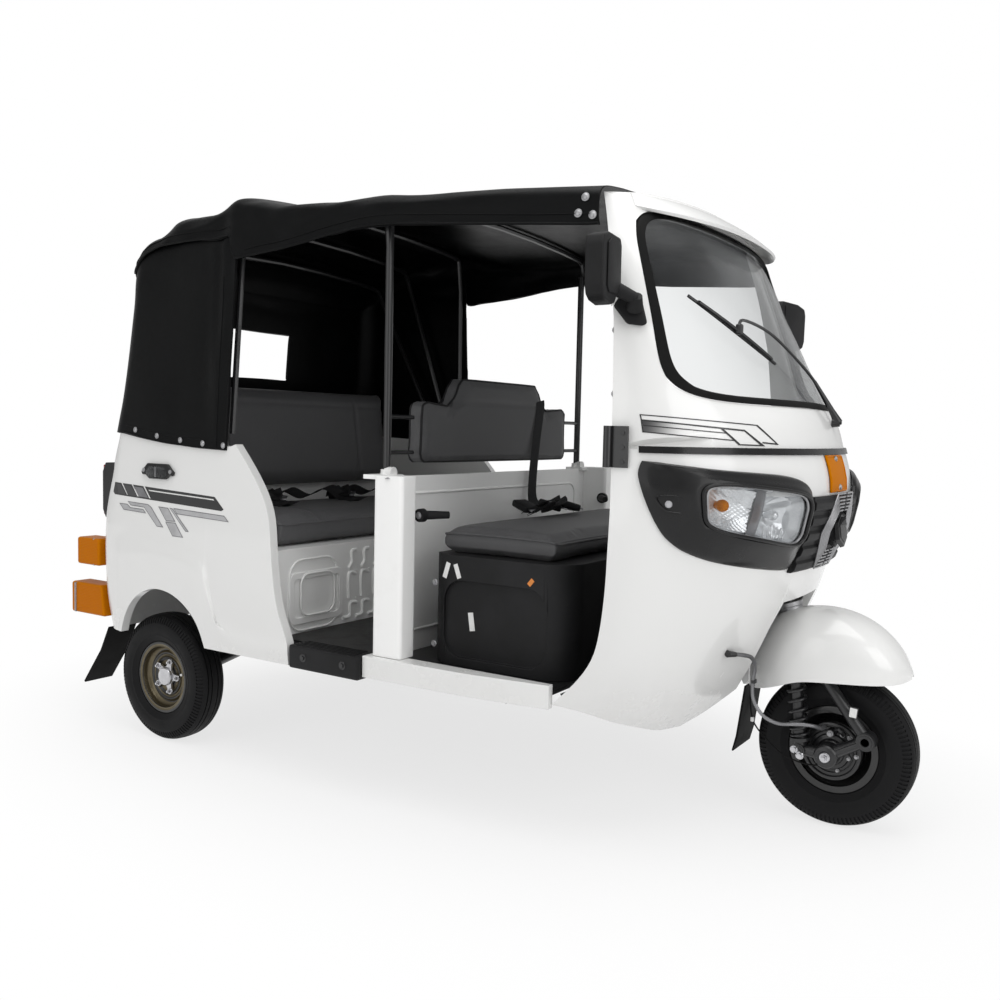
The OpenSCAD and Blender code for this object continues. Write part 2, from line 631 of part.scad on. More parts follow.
pole_x = 868;
pole_y = 545;
back_x = [pole_x - 38, pole_x - 38 + backrest_t];
module front_backrest() color(grey_vinyl) car() {
    low = 912;
    shoulder = 1108;
    top = 1200;
    half = backrest_w / 2;
    along(back_x[0], back_x[1]) {
        translate([0, (low + shoulder) / 2]) round_rect(backrest_w, shoulder - low, 30);
        polygon([[-half * 0.66, shoulder - 10], [half * 0.66, shoulder - 10], [half * 0.56, top - 25],
            [half * 0.5, top], [-half * 0.5, top], [-half * 0.56, top - 25]]);
    }
}

module seat_belts() color(black) car() {
    w = 46;
    x = back_x[1] - 0.7;
    path = [[x, 245, 1140], [x, 205, 1000], [x + 3, 180, 915], [x + 60, 150, 800], [x + 110, 128, 774]];
    pt = function (i, j, d) let (p = path[i], q = path[min(i + 1, 4)], e = path[max(i - 1, 0)], t = q - e,
        n = unit([-t.z, 0, t.x]))
        p + [0, (2 * j - 1) * w / 2, 0] + d * n;
    skin([for (i = [4 : -1 : 0]) [for (j = [0 : 1]) pt(i, j, 4)]],
        [for (i = [4 : -1 : 0]) [for (j = [0 : 1]) pt(i, j, 1)]]);
}

// Hood. Stations from front to rear; columns: x, then the drops of crown, shoulder and hem below
// the overall height, then the half width
ROOF = [[wheelbase - 465, 90, 118, 218, 566], [wheelbase - 722, 72, 100, 199, 592], [912, 54, 85, 169, 602],
    [734, 50, 80, 175, 604], [560, 48, 78, 200, 606], [430, 28, 55, 210, 606], [322, 0, 35, 216, 606],
    [300, 2, 38, 150, 606], [240, 20, 62, 150, 606], [150, 28, 74, 148, 606], [50, 28, 70, 150, 606],
    [-30, 64, 107, 156, 606], [-100, 100, 135, 176, 606], [-150, 133, 162, 205, 602], [-180, 166, 188, 225, 584],
    [-196, 205, 218, 245, 562], [-206, 240, 250, 268, 544]];
// Half section of the roof; columns: share of the half width, share of the crown's fall, drop below the shoulder
ROOF_SECTION = [[0, 0, 0], [0.4, 0.16, 0], [0.7, 0.49, 0], [0.9, 0.82, 0], [0.965, 1, 6], [0.992, 1, 20], [1, 1, 40]];
function roof_point(l, k, side, d) = let (
        last = len(ROOF_SECTION), q = ROOF_SECTION[min(k, last - 1)],
        w = l[4] + d, crown = overall_h - l[1], shoulder = overall_h - l[2], hem = overall_h - l[3],
        curl = min(1, (shoulder - hem) / 48))
    [l[0], side * w * q[0], k == last ? hem : lerp(crown, shoulder, q[1]) - q[2] * curl + d * (1 - q[2] / 40)];

// Height of the roof's outer face at a place x, y
function roof_at(x, y) = let (
        fall = function (c) lookup(-x, [for (l = ROOF) [-l[0], l[c]]]),
        q = lookup(abs(y) / fall(4), [for (q = ROOF_SECTION) [q[0], q[1]]]),
        low = lookup(abs(y) / fall(4), [for (q = ROOF_SECTION) [q[0], q[2]]]))
    overall_h - lerp(fall(1), fall(2), q) - low;

module hood_roof() color(black) car() {
    last = len(ROOF_SECTION);
    ks = concat([for (k = [last : -1 : 0]) [k, 1]], [for (k = [1 : last]) [k, -1]]);
    grid = function (d) [for (k = ks) [for (l = ROOF) roof_point(l, k[0], k[1], d)]];
    skin(grid(0), grid(-fabric_t));
}

// Curtain round the back. Columns: height share, drop inside the straight line in y, in x
curtain_front = 318;
curtain_gap = 0.8;
window_z = [1202, 1202 + window_h];
CURTAIN_REAR = [[waist_z, -254], [1134, -226], [1202, -218], [1475, -192], [1512, -186]];
module hood_curtain() color(black) car() {
    r = corner_r + fabric_t + curtain_gap;
    rear_top = overall_h - 228;
    side_xs = [curtain_front, 240, 150, 50, -30, -100];
    side_low = function (x) lookup(x, [[-170, waist_z + 8], [-47, 973], [122, 958], [290, 950]]);
    // the top edge goes up behind the roof's hem
    under_hem = 14;
    side_top = function (x) overall_h - lookup(-x, [for (l = ROOF) if (l[0] <= 300) [-l[0], l[3]]]) + under_hem;
    half_w = function (z) (z < 1000 ? quarter_y(z) : lerp(quarter_y(1000), 590,
        (z - 1000) / 590)) + fabric_t + curtain_gap;
    rear_x0 = function (z) lookup(z, CURTAIN_REAR) - fabric_t - curtain_gap;
    // Heights of the rows at the back, with the window's edges among them
    shares = [for (z = [waist_z + 8, 1100, window_z[0], (window_z[0] + window_z[1]) / 2, window_z[1], 1470, rear_top])
        (z - waist_z - 8) / (rear_top - waist_z - 8)];
    half = function (v, d) concat(
        [for (x = side_xs) let (z = lerp(side_low(x), side_top(x), v)) [x, half_w(z) + d, z]],
        [for (a = [0 : 10 : 90]) let (
                top = side_top(rear_x0(rear_top) + r * (1 - sin(a))) - 3 * sin(a),
                z = lerp(waist_z + 8, top, v), x0 = rear_x0(z))
            [x0 + r - (r + d) * sin(a), half_w(z) - r + (r + d) * cos(a), z]],
        [let (z = lerp(waist_z + 8, rear_top, v)) [rear_x0(z) - d, window_w / 2, z]]);
    row = function (v, d) let (h = half(v, d), n = len(h))
        concat(h, [for (i = [n - 1 : -1 : 0]) [h[i].x, -h[i].y, h[i].z]]);
    middle = len(half(0, 0)) - 1;
    skin([for (v = shares) row(v, 0)], [for (v = shares) row(v, -fabric_t)],
        hole = function (i, j) (i == 2 || i == 3) && j == middle);
}

module hood_frame() color(black) car() {
    r = tube_d / 2;
    both() {
        rod([pole_x, pole_y, 900 + gap], [pole_x, pole_y, 1590], r);
        for (z = [960, 1060]) rod([pole_x, pole_y, z], [pole_x, backrest_w / 2 + gap, z], 6);
    }
    // Bows. Columns: foot x, foot y, foot height, place of the bow under the roof
    bow_r = 9;
    under = function (x, y) [x, y, roof_at(x, y) - fabric_t - bow_r - 1.3];
    for (b = [[300, 594, 1000, 316], [270, 584, 960, 50], [240, 578, 930, -95], [pole_x, pole_y, 1500, pole_x]]) {
        edge = 560;
        top = under(b[3], edge - 40);
        side = [for (t = [0, 0.42, 0.85]) [lerp(b[0], b[3], t), lerp(b[1], edge, t), lerp(b[2], top.z - 26, t)]];
        half = concat(side, [[b[3], edge - 14, top.z - 10]], [for (y = [edge - 40, 400, 200]) under(b[3], y)]);
        tube(concat(half, [under(b[3], 0)],
            [for (i = [len(half) - 1 : -1 : 0]) [half[i].x, -half[i].y, half[i].z]]), bow_r);
    }
}

// Side repeater's outline, from its rear lug round; columns: x, height from its middle
REPEATER = [[-62, -3], [-34, 24], [60, 24], [92, -3], [86, -13], [70, -13], [54, -25], [-22, -25], [-40, -13],
    [-56, -13]];
repeater_z = 875;
module tail_lamps() color(black) car() both() {
    lean = atan((quarter_y(repeater_z) - quarter_y(repeater_z + 20)) / 20);
    translate([0, quarter_y(repeater_z) + gap, repeater_z]) rotate([lean, 0, 0]) across(0, 12) polygon(REPEATER);
    across(515, 588) polygon([[quarter_x(700) - 1, 700], [quarter_x(732) - 1, 732], [quarter_x(800) - 1, 800],
        [quarter_x(893) - 1, 893], [-330, 890], [-346, 860], [-346, 730], [-330, 702]]);
}

module marker_lamps() color(amber) car() both() {
    // columns: rear end, lower and upper edge, inner and outer side
    for (l = [[rear_x + 42, 543, 635, side_y - 96, side_y - 20], [rear_x, 372, 478, side_y - 102, side_y - 26]])
        across(l[3], l[4]) polygon([[l[0], l[1]], [quarter_x(l[1]) - gap, l[1]], [quarter_x(l[2]) - gap, l[2]],
            [l[0], l[2]]]);
}

module rear_flaps() color(black) car() both()
    across(side_y - 142, side_y - 34) polygon([[-262, skirt_z - gap], [-255, skirt_z - gap], [-300, 250],
        [-392, 130], [-398, 134], [-305, 256]]);

module rear_arms() color(black) car() both() {
    rod([arm_x, arm_y, rail_z], [arm_x, arm_y + 50, rail_z], 28);
    rod([arm_x - 4, arm_y + 25, rail_z - 2], [0, 470, tyre_r], 22);
    rod([0, 440, tyre_r], [0, track / 2 - 58, tyre_r], 34);
    rod([0, track / 2 - 60, tyre_r], [0, track / 2 - 10, tyre_r], spindle_d / 2);
    rod([70, 440, 260], [90, 340, 560], 20);
}

// Wheels, built round the y axis at the origin
module tyre_solid() {
    r0 = bead_d / 2 + gap;
    r1 = bead_d / 2 + flange_h;
    w = tyre_w / 2;
    bead = rim_w / 2 - gap;
    // half of the section, from the bead's toe over the tread to the crown, and back inside
    outside = [[r0, bead - 12], [r0, bead], [r1 + 1, bead], [r1 + 5, bead + 7], [r1 + 24, w - 2], [r1 + 38, w],
        [tyre_r - 30, w - 1], [tyre_r - 14, w - 7], [tyre_r - 5, w - 17], [tyre_r - 1, w - 32], [tyre_r, w - 44]];
    inside = [[tyre_r - 12, 0], [tyre_r - 15, w - 24], [tyre_r - 32, w - 12], [r1 + 36, w - 10], [r1 + 10,
        bead - 6], [r0 + 4, bead - 12]];
    ring = concat(outside, [for (i = [len(outside) - 1 : -1 : 0]) [outside[i][0], -outside[i][1]]],
        [for (i = [len(inside) - 1 : -1 : 0]) [inside[i][0], -inside[i][1]]],
            [for (i = [1 : len(inside) - 1]) inside[i]]);
    rotate([90, 0, 0]) rotate_extrude($fn = 72) polygon(ring);
}

// Rim with its disc, hub and drum; the hub's nose points to +y and its bore opens to -y
rim_w = 76;
module rim_solid() {
    b = bead_d / 2;
    f = b + flange_h;
    h = rim_w / 2;
    s = spindle_d / 2 + 0.1;
    rotate([-90, 0, 0]) rotate_extrude($fn = 72) polygon([
        // drum, from the bore's mouth outwards
        [s, -46], [30, -46], [30, -34], [74, -34], [74, -2], [79, 2],
        // barrel and its inner flange
        [b - 17, -14], [b - 3, -27], [b - 3, -h - 4], [f - 3, -h - 4], [f, -h - 2], [f, -h], [b, -h], [b, -24],
        // well, outer bead seat and outer flange
        [b - 14, -12], [b - 14, 10], [b, 22], [b, h], [f, h], [f, h + 2], [f - 3, h + 4], [b - 3, h + 4], [b - 3, 25],
        // disc with its rings, and the hub's nose
        [b - 17, 12], [b - 24, 12], [b - 30, 17], [62, 20], [52, 14], [38, 14], [36, 32], [26, 40], [0, 40],
        [0, 12], [s, 12]]);
    // five arms of the hub with their nuts
    studs = 5;
    stud_ring = 50;
    for (i = [0 : studs - 1]) rotate([-90, 0, 0]) rotate(360 / studs * i) {
        translate([20, -9, 12]) cube([stud_ring - 20, 18, 10]);
        translate([stud_ring, 0, 12]) cylinder(r = 9, h = 10, $fn = 32);
        translate([stud_ring, 0, 20]) cylinder(r = 7, h = 10, $fn = 6);
    }
}

module front_tyre() color(black) car() translate([wheelbase, 0, tyre_r]) tyre_solid();
module front_rim() color(black) car() translate([wheelbase, 0, tyre_r]) rim_solid();
module left_tyre() color(black) car() translate([0, track / 2, tyre_r]) tyre_solid();
module left_rim() color([0.25, 0.22, 0.15]) car() translate([0, track / 2, tyre_r]) rim_solid();
module right_tyre() color(black) car() translate([0, -track / 2, tyre_r]) mirror([0, 1, 0]) tyre_solid();
module right_rim() color([0.25, 0.22, 0.15]) car() translate([0, -track / 2, tyre_r]) mirror([0, 1, 0]) rim_solid();

// Fork with its column and handlebar
link_y = 96;
pivot = [wheelbase + 97, -link_y, 262];
boss_r = 24;
// Height of the handlebar over the head's lower end, along the axis
bar_h = 408;
// Collar under the head, and the crown that leads from it to the leg
collar = [-62, -12];
collar_r = 34;
crown_r = 18;
crown = [wheelbase - head_back + 30, -link_y, head_z - 62];
module fork_crown(r) rod([wheelbase - head_back + 16, 0, head_z - 46], crown, r);

module fork() color(black) car() {
    head() {
        translate([0, 0, collar[0]]) cylinder(r = column_d / 2, h = bar_h + 16 - collar[0], $fn = 48);
        translate([0, 0, collar[0]]) cylinder(r = collar_r, h = collar[1] - collar[0], $fn = 48);
        both() {
            rod([0, 0, bar_h], [-30, 130, bar_h + 2], bar_d / 2);
            rod([-27, 126, bar_h + 2], [-150, 320, bar_h - 8], bar_d / 2 + 3);
        }
    }
    fork_crown(crown_r);
    rod(crown, pivot, 15);
    translate(pivot) rotate([90, 0, 0]) translate([0, 0, -16]) cylinder(r = boss_r, h = 32, $fn = 48);
}

// Trailing link on the right of the wheel, with its brake plate, spindle and spring leg
spring_foot = [wheelbase - 70, -link_y - 2, 222];
spring_top = [wheelbase - 93, -link_y - 2, 440];
module front_link() color(black) car() {
    axle = [wheelbase, 0, tyre_r];
    y = -link_y;
    rod(pivot + (boss_r + gap) * unit([wheelbase, y, tyre_r] - pivot), [wheelbase, y, tyre_r], 14);
    rod([wheelbase, y, tyre_r], [spring_foot.x, y, spring_foot.z - 12], 14);
    translate(axle) rotate([90, 0, 0]) {
        translate([0, 0, 52]) cylinder(r = 76, h = 8, $fn = 64);
        translate([0, 0, 8]) cylinder(r = spindle_d / 2, h = 50, $fn = 48);
        translate([0, 0, 58]) cylinder(r = 30, h = 62, $fn = 48);
        translate([0, 0, 118]) cylinder(r = 13, h = 14, $fn = 6);
    }
    rod(spring_foot, spring_top, 15);
    turns = 7;
    steps = 7;
    dir = unit(spring_top - spring_foot);
    u = unit(cross(dir, [0, 1, 0]));
    v = cross(dir, u);
    tube([for (i = [0 : turns * steps]) let (a = 360 * i / steps, t = i / (turns * steps))
        lerp(spring_foot + 24 * dir, spring_top - 6 * dir, t) + 21 * (cos(a) * u + sin(a) * v)], 4, 6);
}

// Front fender. Columns: place from the axle, top, half width, lower edge
FENDER = [[-236, 446, 40, 346], [-215, 500, 74, 348], [-180, 545, 98, 356], [-130, 568, 122, 374],
    [-80, 578, 131, 398], [-20, 580, 132, 404], [45, 566, 126, 408], [105, 532, 112, 410], [150, 486, 84, 412],
    [176, 440, 36, 416]];
fender_t = 3;
module front_fender() color(white) car() {
    n = 14;
    bend = 0.72;
    pt = function (f, j, d) let (a = 180 * j / n, c = cos(a), s = sin(a))
        [wheelbase + f[0] * (1 + d / 240), (f[2] + d) * sign(c) * abs(c) ^ bend, f[3] + (f[1] + d - f[3]) * s ^ bend];
    grid = function (d) [for (f = FENDER) [for (j = [0 : n]) pt(f, j, d)]];
    difference() {
        skin(grid(0), grid(-fender_t));
        fork_crown(crown_r + seat_gap);
        rod(crown, pivot, 15 + seat_gap);
        head() translate([0, 0, collar[0]]) cylinder(r = collar_r + seat_gap, h = 80, $fn = 48);
    }
}

module front_flap() color(black) car() {
    top = FENDER[0][3] - gap;
    across(-70, 70) polygon([[wheelbase - 237, top], [wheelbase - 232, top], [wheelbase - 251, 200],
        [wheelbase - 262, 158],
        [wheelbase - 266, 160], [wheelbase - 256, 202]]);
}

// Sheathed brake line from the cowl to the brake plate
brake_route = [[1798, -326, 486], [1814, -282, 478], [1820, -230, 462], [1814, -185, 430], [1802, -160, 385],
    [1802, -150, 335], [1826, -146, 296], [1868, -144, 280], [1918, -140, 286], [1950, -124, 284], [1966, -92, 272],
    [1966, -60 - gap, 270]];
module brake_conduit() color(steel) car() tube(brake_route, 5);

chassis_frame();
floor_pan();
floor_mats();
toe_board();
sills();
steps();
quarters();
rear_panel();
hatch_hinges();
hatch();
engine_block();
bulkhead();
partition();
rear_cushion();
rear_backrest();
seat_base();
front_cushion();
front_backrest();
seat_belts();
hood_frame();
hood_roof();
hood_curtain();
cowl();
screen_surround();
windscreen();
screen_seal();
trim_strip();
lamp_bezels();
headlamps();
nose_grille();
front_plate();
door_hinges();
wiper();
mirrors();
dashboard();
tail_lamps();
marker_lamps();
rear_flaps();
rear_arms();
fork();
front_link();
front_fender();
front_flap();
brake_conduit();
front_tyre();
front_rim();
left_tyre();
left_rim();
right_tyre();
right_rim();
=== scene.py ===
"""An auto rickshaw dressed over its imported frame: panels, hood, seats, glass, lamps, fork and wheels."""

import itertools
import json
import math

import bmesh
import bpy
import numpy as np
from mathutils import Matrix, Vector, noise
from mathutils.bvhtree import BVHTree


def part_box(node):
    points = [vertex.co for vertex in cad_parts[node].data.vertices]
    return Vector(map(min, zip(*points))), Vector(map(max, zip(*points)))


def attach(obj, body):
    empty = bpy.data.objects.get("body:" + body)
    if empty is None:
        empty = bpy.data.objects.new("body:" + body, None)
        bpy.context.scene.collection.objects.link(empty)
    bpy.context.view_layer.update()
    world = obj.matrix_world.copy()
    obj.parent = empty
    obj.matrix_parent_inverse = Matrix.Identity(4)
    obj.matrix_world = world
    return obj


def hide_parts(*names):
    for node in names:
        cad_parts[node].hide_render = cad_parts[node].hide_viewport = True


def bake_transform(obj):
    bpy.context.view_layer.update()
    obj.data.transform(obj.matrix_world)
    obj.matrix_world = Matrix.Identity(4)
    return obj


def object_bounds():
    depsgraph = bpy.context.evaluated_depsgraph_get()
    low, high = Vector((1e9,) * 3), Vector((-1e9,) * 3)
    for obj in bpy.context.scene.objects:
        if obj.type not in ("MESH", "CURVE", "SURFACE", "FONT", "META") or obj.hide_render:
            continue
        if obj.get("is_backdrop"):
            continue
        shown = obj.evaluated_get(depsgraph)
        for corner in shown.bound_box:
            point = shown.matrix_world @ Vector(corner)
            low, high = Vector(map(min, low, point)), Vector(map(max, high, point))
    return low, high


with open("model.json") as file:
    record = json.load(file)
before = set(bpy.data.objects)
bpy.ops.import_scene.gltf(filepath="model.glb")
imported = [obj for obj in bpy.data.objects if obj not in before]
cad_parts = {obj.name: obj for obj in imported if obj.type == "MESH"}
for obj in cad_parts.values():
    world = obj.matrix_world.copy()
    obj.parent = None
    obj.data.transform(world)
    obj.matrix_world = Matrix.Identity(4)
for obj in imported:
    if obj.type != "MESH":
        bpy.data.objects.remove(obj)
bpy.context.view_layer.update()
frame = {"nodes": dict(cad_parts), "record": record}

bl_info = {
    "name": "Auto rickshaw",
    "version": (1, 0, 0),
    "blender": (4, 5, 0),
    "location": "View3D > Sidebar > Rickshaw",
    "description": "Dresses the auto rickshaw's frame with its panels, hood, seats, glass, lamps and wheels",
    "category": "Add Mesh",
}

BODY_OF = {node: body for body, nodes in frame["record"]["behaviour"]["bodies"].items() for node in nodes}
SLOT_OF = {row["node"]: row["material_slot"] for row in frame["record"]["subparts"]}
# Where the row's frame has its origin, in metres forward of the rear axle; the rest is in millimetres
ROW_MIDDLE = 0.8685
FRONT_AXLE = 1985
HUB_HEIGHT = 206
TRACK_HALF = 575


def at(x, y, z):
    """A point in the row's frame, from millimetres forward of the rear axle, to the left and up."""
    return Vector((x / 1000 - ROW_MIDDLE, y / 1000, z / 1000))


def places(rows):
    """Points of the vehicle from rows of millimetres."""
    return [at(*row) for row in rows]


def metres(rows):
    """The rows of a profile in millimetres, in metres."""
    return [(a / 1000, b / 1000) for a, b in rows]


def turned(point, angle, axis="Y"):
    """A matrix that stands a shape at a point, turned about an axis."""
    return Matrix.Translation(point) @ Matrix.Rotation(angle, 4, axis)


# The steering head: its local z runs up the steering column
STEERING_HEAD = turned(at(1835, 0, 590), -math.radians(18))


# Finishes


class Value:
    """A socket of a finish, with arithmetic that adds its Math nodes."""

    def __init__(self, finish, socket):
        self.finish, self.socket = finish, socket

    def calculate(self, operation, *terms):
        return self.finish.node("ShaderNodeMath", {"operation": operation}, dict(enumerate(terms)))

    def __add__(self, other):
        return self.calculate("ADD", self, other)

    def __mul__(self, other):
        return self.calculate("MULTIPLY", self, other)

    def __pow__(self, other):
        return self.calculate("POWER", self, other)

    def __rsub__(self, other):
        return self.calculate("SUBTRACT", other, self)

    __radd__ = __add__

    def above(self, low, high):
        """0 below low, 1 above high, and smooth between."""
        settings = {"interpolation_type": "SMOOTHSTEP"}
        inputs = {"Value": self, "From Min": low, "From Max": high}
        return self.finish.node("ShaderNodeMapRange", settings, inputs)

    def maximum(self, other):
        return self.calculate("MAXIMUM", self, other)

    def minimum(self, other):
        return self.calculate("MINIMUM", self, other)


class Finish:
    """A procedural material under construction, with one Principled shader."""

    def __init__(self, name, **fixed):
        self.material = bpy.data.materials.new(name)
        self.material.use_nodes = True
        self.tree = self.material.node_tree
        self.tree.nodes.clear()
        self.shader = self.tree.nodes.new("ShaderNodeBsdfPrincipled")
        self.output = self.tree.nodes.new("ShaderNodeOutputMaterial")
        self.tree.links.new(self.shader.outputs[0], self.output.inputs[0])
        self.object_place = self.node("ShaderNodeTexCoord", {}, {}, "Object")
        for name, value in fixed.items():
            self.set(name.replace("_", " "), value)

    def node(self, kind, settings, inputs, output=0):
        """One shader node: its settings, then the values or links of its sockets."""
        made = self.tree.nodes.new(kind)
        for name, value in settings.items():
            setattr(made, name, value)
        for name, value in inputs.items():
            self.join(made.inputs[name], value)
        return Value(self, made.outputs[output])

    def join(self, socket, value):
        if isinstance(value, Value):
            self.tree.links.new(value.socket, socket)
        elif hasattr(value, "__len__") and len(value) == 3 and socket.type == "RGBA":
            socket.default_value = (*value, 1)
        else:
            socket.default_value = value

    def set(self, name, value):
        self.join(self.shader.inputs[name], value)
        return self

    def axis(self, name):
        return self.node("ShaderNodeSeparateXYZ", {}, {"Vector": self.object_place}, name)

    def noise(self, scale, detail=2, rough=0.5):
        inputs = {"Vector": self.object_place, "Scale": scale, "Detail": detail, "Roughness": rough}
        return self.node("ShaderNodeTexNoise", {}, inputs)

    def cloud(self, scale, detail, rough, low, high):
        """Noise that is 0 below low and 1 above high."""
        return self.noise(scale, detail, rough).above(low, high)

    def cells(self, scale, feature="F1"):
        inputs = {"Vector": self.object_place, "Scale": scale}
        return self.node("ShaderNodeTexVoronoi", {"feature": feature}, inputs, "Distance")

    def waves(self, scale, direction="X", place=None):
        inputs = {"Vector": place or self.object_place, "Scale": scale}
        return self.node("ShaderNodeTexWave", {"bands_direction": direction}, inputs, "Fac")

    def blend(self, share, first, second):
        return self.node("ShaderNodeMix", {"data_type": "RGBA"}, {0: share, 6: first, 7: second}, 2)

    def relief(self, height, depth, strength=1.0):
        """Feeds a height through Bump to the shader's normal; depth is in metres."""
        inputs = {"Height": height, "Distance": depth, "Strength": strength}
        self.set("Normal", self.node("ShaderNodeBump", {}, inputs))
        return self


FINISHES = {}


def finish(name):
    """The material of that name, made when a piece first asks for it."""
    if name not in FINISHES:
        FINISHES[name] = RECIPES[name]().material
        FINISHES[name].name = name
    return FINISHES[name]


def shaded(colour, *shares):
    """A colour made lighter or darker by a share, or by one for each of its channels."""
    return tuple(value * share for value, share in zip(colour, shares if len(shares) == 3 else shares * 3))


def body_white():
    """Clear-coated white paint with a little road dust along the lower edges."""
    settings = bpy.context.scene.rickshaw_body
    made = Finish("white", Coat_Weight=0.6, Coat_Roughness=0.04, IOR=1.5)
    dust = (1 - made.axis("Z").above(0.28, 0.5)) * made.noise(9, 8, 0.65).above(0.42, 0.75)
    tone = made.noise(1.3, 3).above(0.3, 0.7) * 0.35
    paint = made.blend(tone, settings.paint, shaded(settings.paint, 0.955))
    made.set("Base Color", made.blend(dust * 0.1, paint, (0.5, 0.46, 0.41)))
    made.set("Roughness", 0.22 + dust * 0.15 + made.noise(40, 4) * 0.05)
    return made.relief(made.noise(190, 3), 0.00022, 0.35)


def plastic_black():
    """Grained black moulded plastic."""
    made = Finish("plastic black", Specular_IOR_Level=0.22)
    grain = made.cells(1500)
    shade = made.noise(7, 4).above(0.3, 0.75)
    made.set("Base Color", made.blend(shade, (0.009, 0.009, 0.0095), (0.015, 0.015, 0.016)))
    made.set("Roughness", 0.42 + grain * 0.18 + made.noise(25, 5) * 0.08)
    return made.relief(grain, 0.00025, 0.5)


def hood_vinyl():
    """Black coated hood cloth: fine grain and dull bloom."""
    settings = bpy.context.scene.rickshaw_hood
    made = Finish("hood vinyl", Specular_IOR_Level=0.09)
    bloom = made.noise(5, 6, 0.6).above(0.4, 0.75)
    grain = made.cells(950, "DISTANCE_TO_EDGE").minimum(0.3)
    made.set("Base Color", made.blend(bloom * 0.6, settings.colour, shaded(settings.colour, 1.8)))
    made.set("Roughness", 0.26 + bloom * 0.14 + made.noise(60, 3) * 0.06)
    return made.relief(grain * 0.6 + made.noise(26, 6, 0.6) * 1.2, 0.0009, 0.55)


def seat_cover(name, base, light, worn_share, speck_rough):
    """A recipe for a speckled, grained seat cover; base and light are shares of the set colour."""

    def recipe():
        colour = bpy.context.scene.rickshaw_seats.colour
        made = Finish(name, Sheen_Weight=0.08, Sheen_Roughness=0.5)
        speck = made.cloud(900, 3, 0.7, 0.45, 0.62)
        tone = made.blend(speck * 0.5, shaded(colour, base), shaded(colour, light))
        if worn_share:
            tone = made.blend(made.cloud(6, 5, 0.5, 0.4, 0.75) * worn_share, tone, shaded(colour, 1.5))
        made.set("Base Color", tone)
        made.set("Roughness", 0.5 + speck * speck_rough)
        grain = made.cells(620, "DISTANCE_TO_EDGE").minimum(0.25)
        return made.relief(grain + made.noise(40, 4) * 0.4, 0.0012, 0.5)

    return recipe


def belt_webbing():
    """Black woven webbing."""
    made = Finish("belt webbing")
    slant = made.node("ShaderNodeMapping", {}, {"Vector": made.object_place, "Rotation": (0, 0, 0.6)})
    rows = made.waves(420, "Z") * made.waves(300, "Y", slant)
    made.set("Base Color", made.blend(rows, (0.008, 0.008, 0.009), (0.03, 0.03, 0.032)))
    made.set("Roughness", 0.75)
    return made.relief(rows, 0.0008, 0.7)


def mat_rubber():
    """A ribbed black floor mat."""
    made = Finish("mat rubber")
    ribs = made.waves(40, "Y") ** 2
    dust = made.noise(14, 7, 0.65).above(0.45, 0.8)
    made.set("Base Color", made.blend(dust * 0.5, (0.014, 0.014, 0.014), (0.05, 0.048, 0.044)))
    made.set("Roughness", 0.55 + dust * 0.25)
    return made.relief(ribs, 0.0015, 0.7)


def tyre_rubber():
    """Tyre rubber, a little dusty."""
    settings = bpy.context.scene.rickshaw_wheels
    made = Finish("tyre rubber", Specular_IOR_Level=0.2)
    dust = made.noise(16, 8, 0.7).above(0.45, 0.8)
    made.set("Base Color", made.blend(dust * 0.5, settings.rubber, shaded(settings.rubber, 2.6)))
    made.set("Roughness", 0.58 + dust * 0.2)
    return made.relief(made.noise(330, 5, 0.6), 0.0004, 0.6)


def stripe_fade():
    """A printed stripe that fades from black to the paint towards the vehicle's middle."""
    made = Finish("stripe fade", Coat_Weight=0.4, Roughness=0.3)
    fade = (made.axis("Y") ** 2).above(0.277, 0.338) * (0.94 + made.noise(30, 3) * 0.06)
    made.set("Base Color", made.blend(fade, bpy.context.scene.rickshaw_body.paint, (0.02, 0.02, 0.022)))
    return made


def cloudy(name, tones, share, rough, cloud, grain, **fixed):
    """A recipe for one tone clouded by another, which is rougher too, with fine grain.

    rough is the first tone's and what the second adds; cloud is the noise's scale, detail, roughness and two
    limits; grain is the relief's scale, detail, depth and strength.
    """

    def recipe():
        made = Finish(name, **fixed)
        mask = made.cloud(*cloud)
        made.set("Base Color", made.blend(mask if share == 1 else mask * share, *tones))
        made.set("Roughness", rough[0] + mask * rough[1])
        scale, detail, depth, strength = grain
        return made.relief(made.noise(scale, detail), depth, strength)

    return recipe


def plain(name, colour, rough, metal=0.0, coat=0.0, grain=260, depth=0.0002):
    """A recipe for a finish with fine grain and slightly uneven tone."""
    cloud, relief = (22, 6, 0.6, 0.35, 0.75), (grain, 4, depth, 0.45)
    tones = (colour, shaded(colour, 0.78))
    return cloudy(name, tones, 1, (rough, 0.1), cloud, relief, Coat_Weight=coat, Metallic=metal)


def pane(name, tint, share):
    """A recipe for a clear pane: see-through, with its gloss growing at grazing angles and pale streaks of
    painted reflection in its colour.
    """

    def recipe():
        made = Finish(name, Roughness=0.02, Coat_Weight=0.5)
        painted_reflection = made.noise(3, 5).above(0.3, 0.8)
        # Pale and dark streaks painted into the glossy layer's colour stand for the studio's reflections
        made.set("Base Color", made.blend(painted_reflection, (0.34, 0.35, 0.36), (0.06, 0.062, 0.064)))
        clear = made.node("ShaderNodeBsdfTransparent", {}, {"Color": tint})
        rim = made.node("ShaderNodeLayerWeight", {}, {"Blend": 0.5}, "Facing")
        gloss = Value(made, made.shader.outputs[0])
        mixed = made.node("ShaderNodeMixShader", {}, {0: share + rim ** 3 * 0.65, 1: clear, 2: gloss})
        made.tree.links.new(mixed.socket, made.output.inputs[0])
        return made

    return recipe


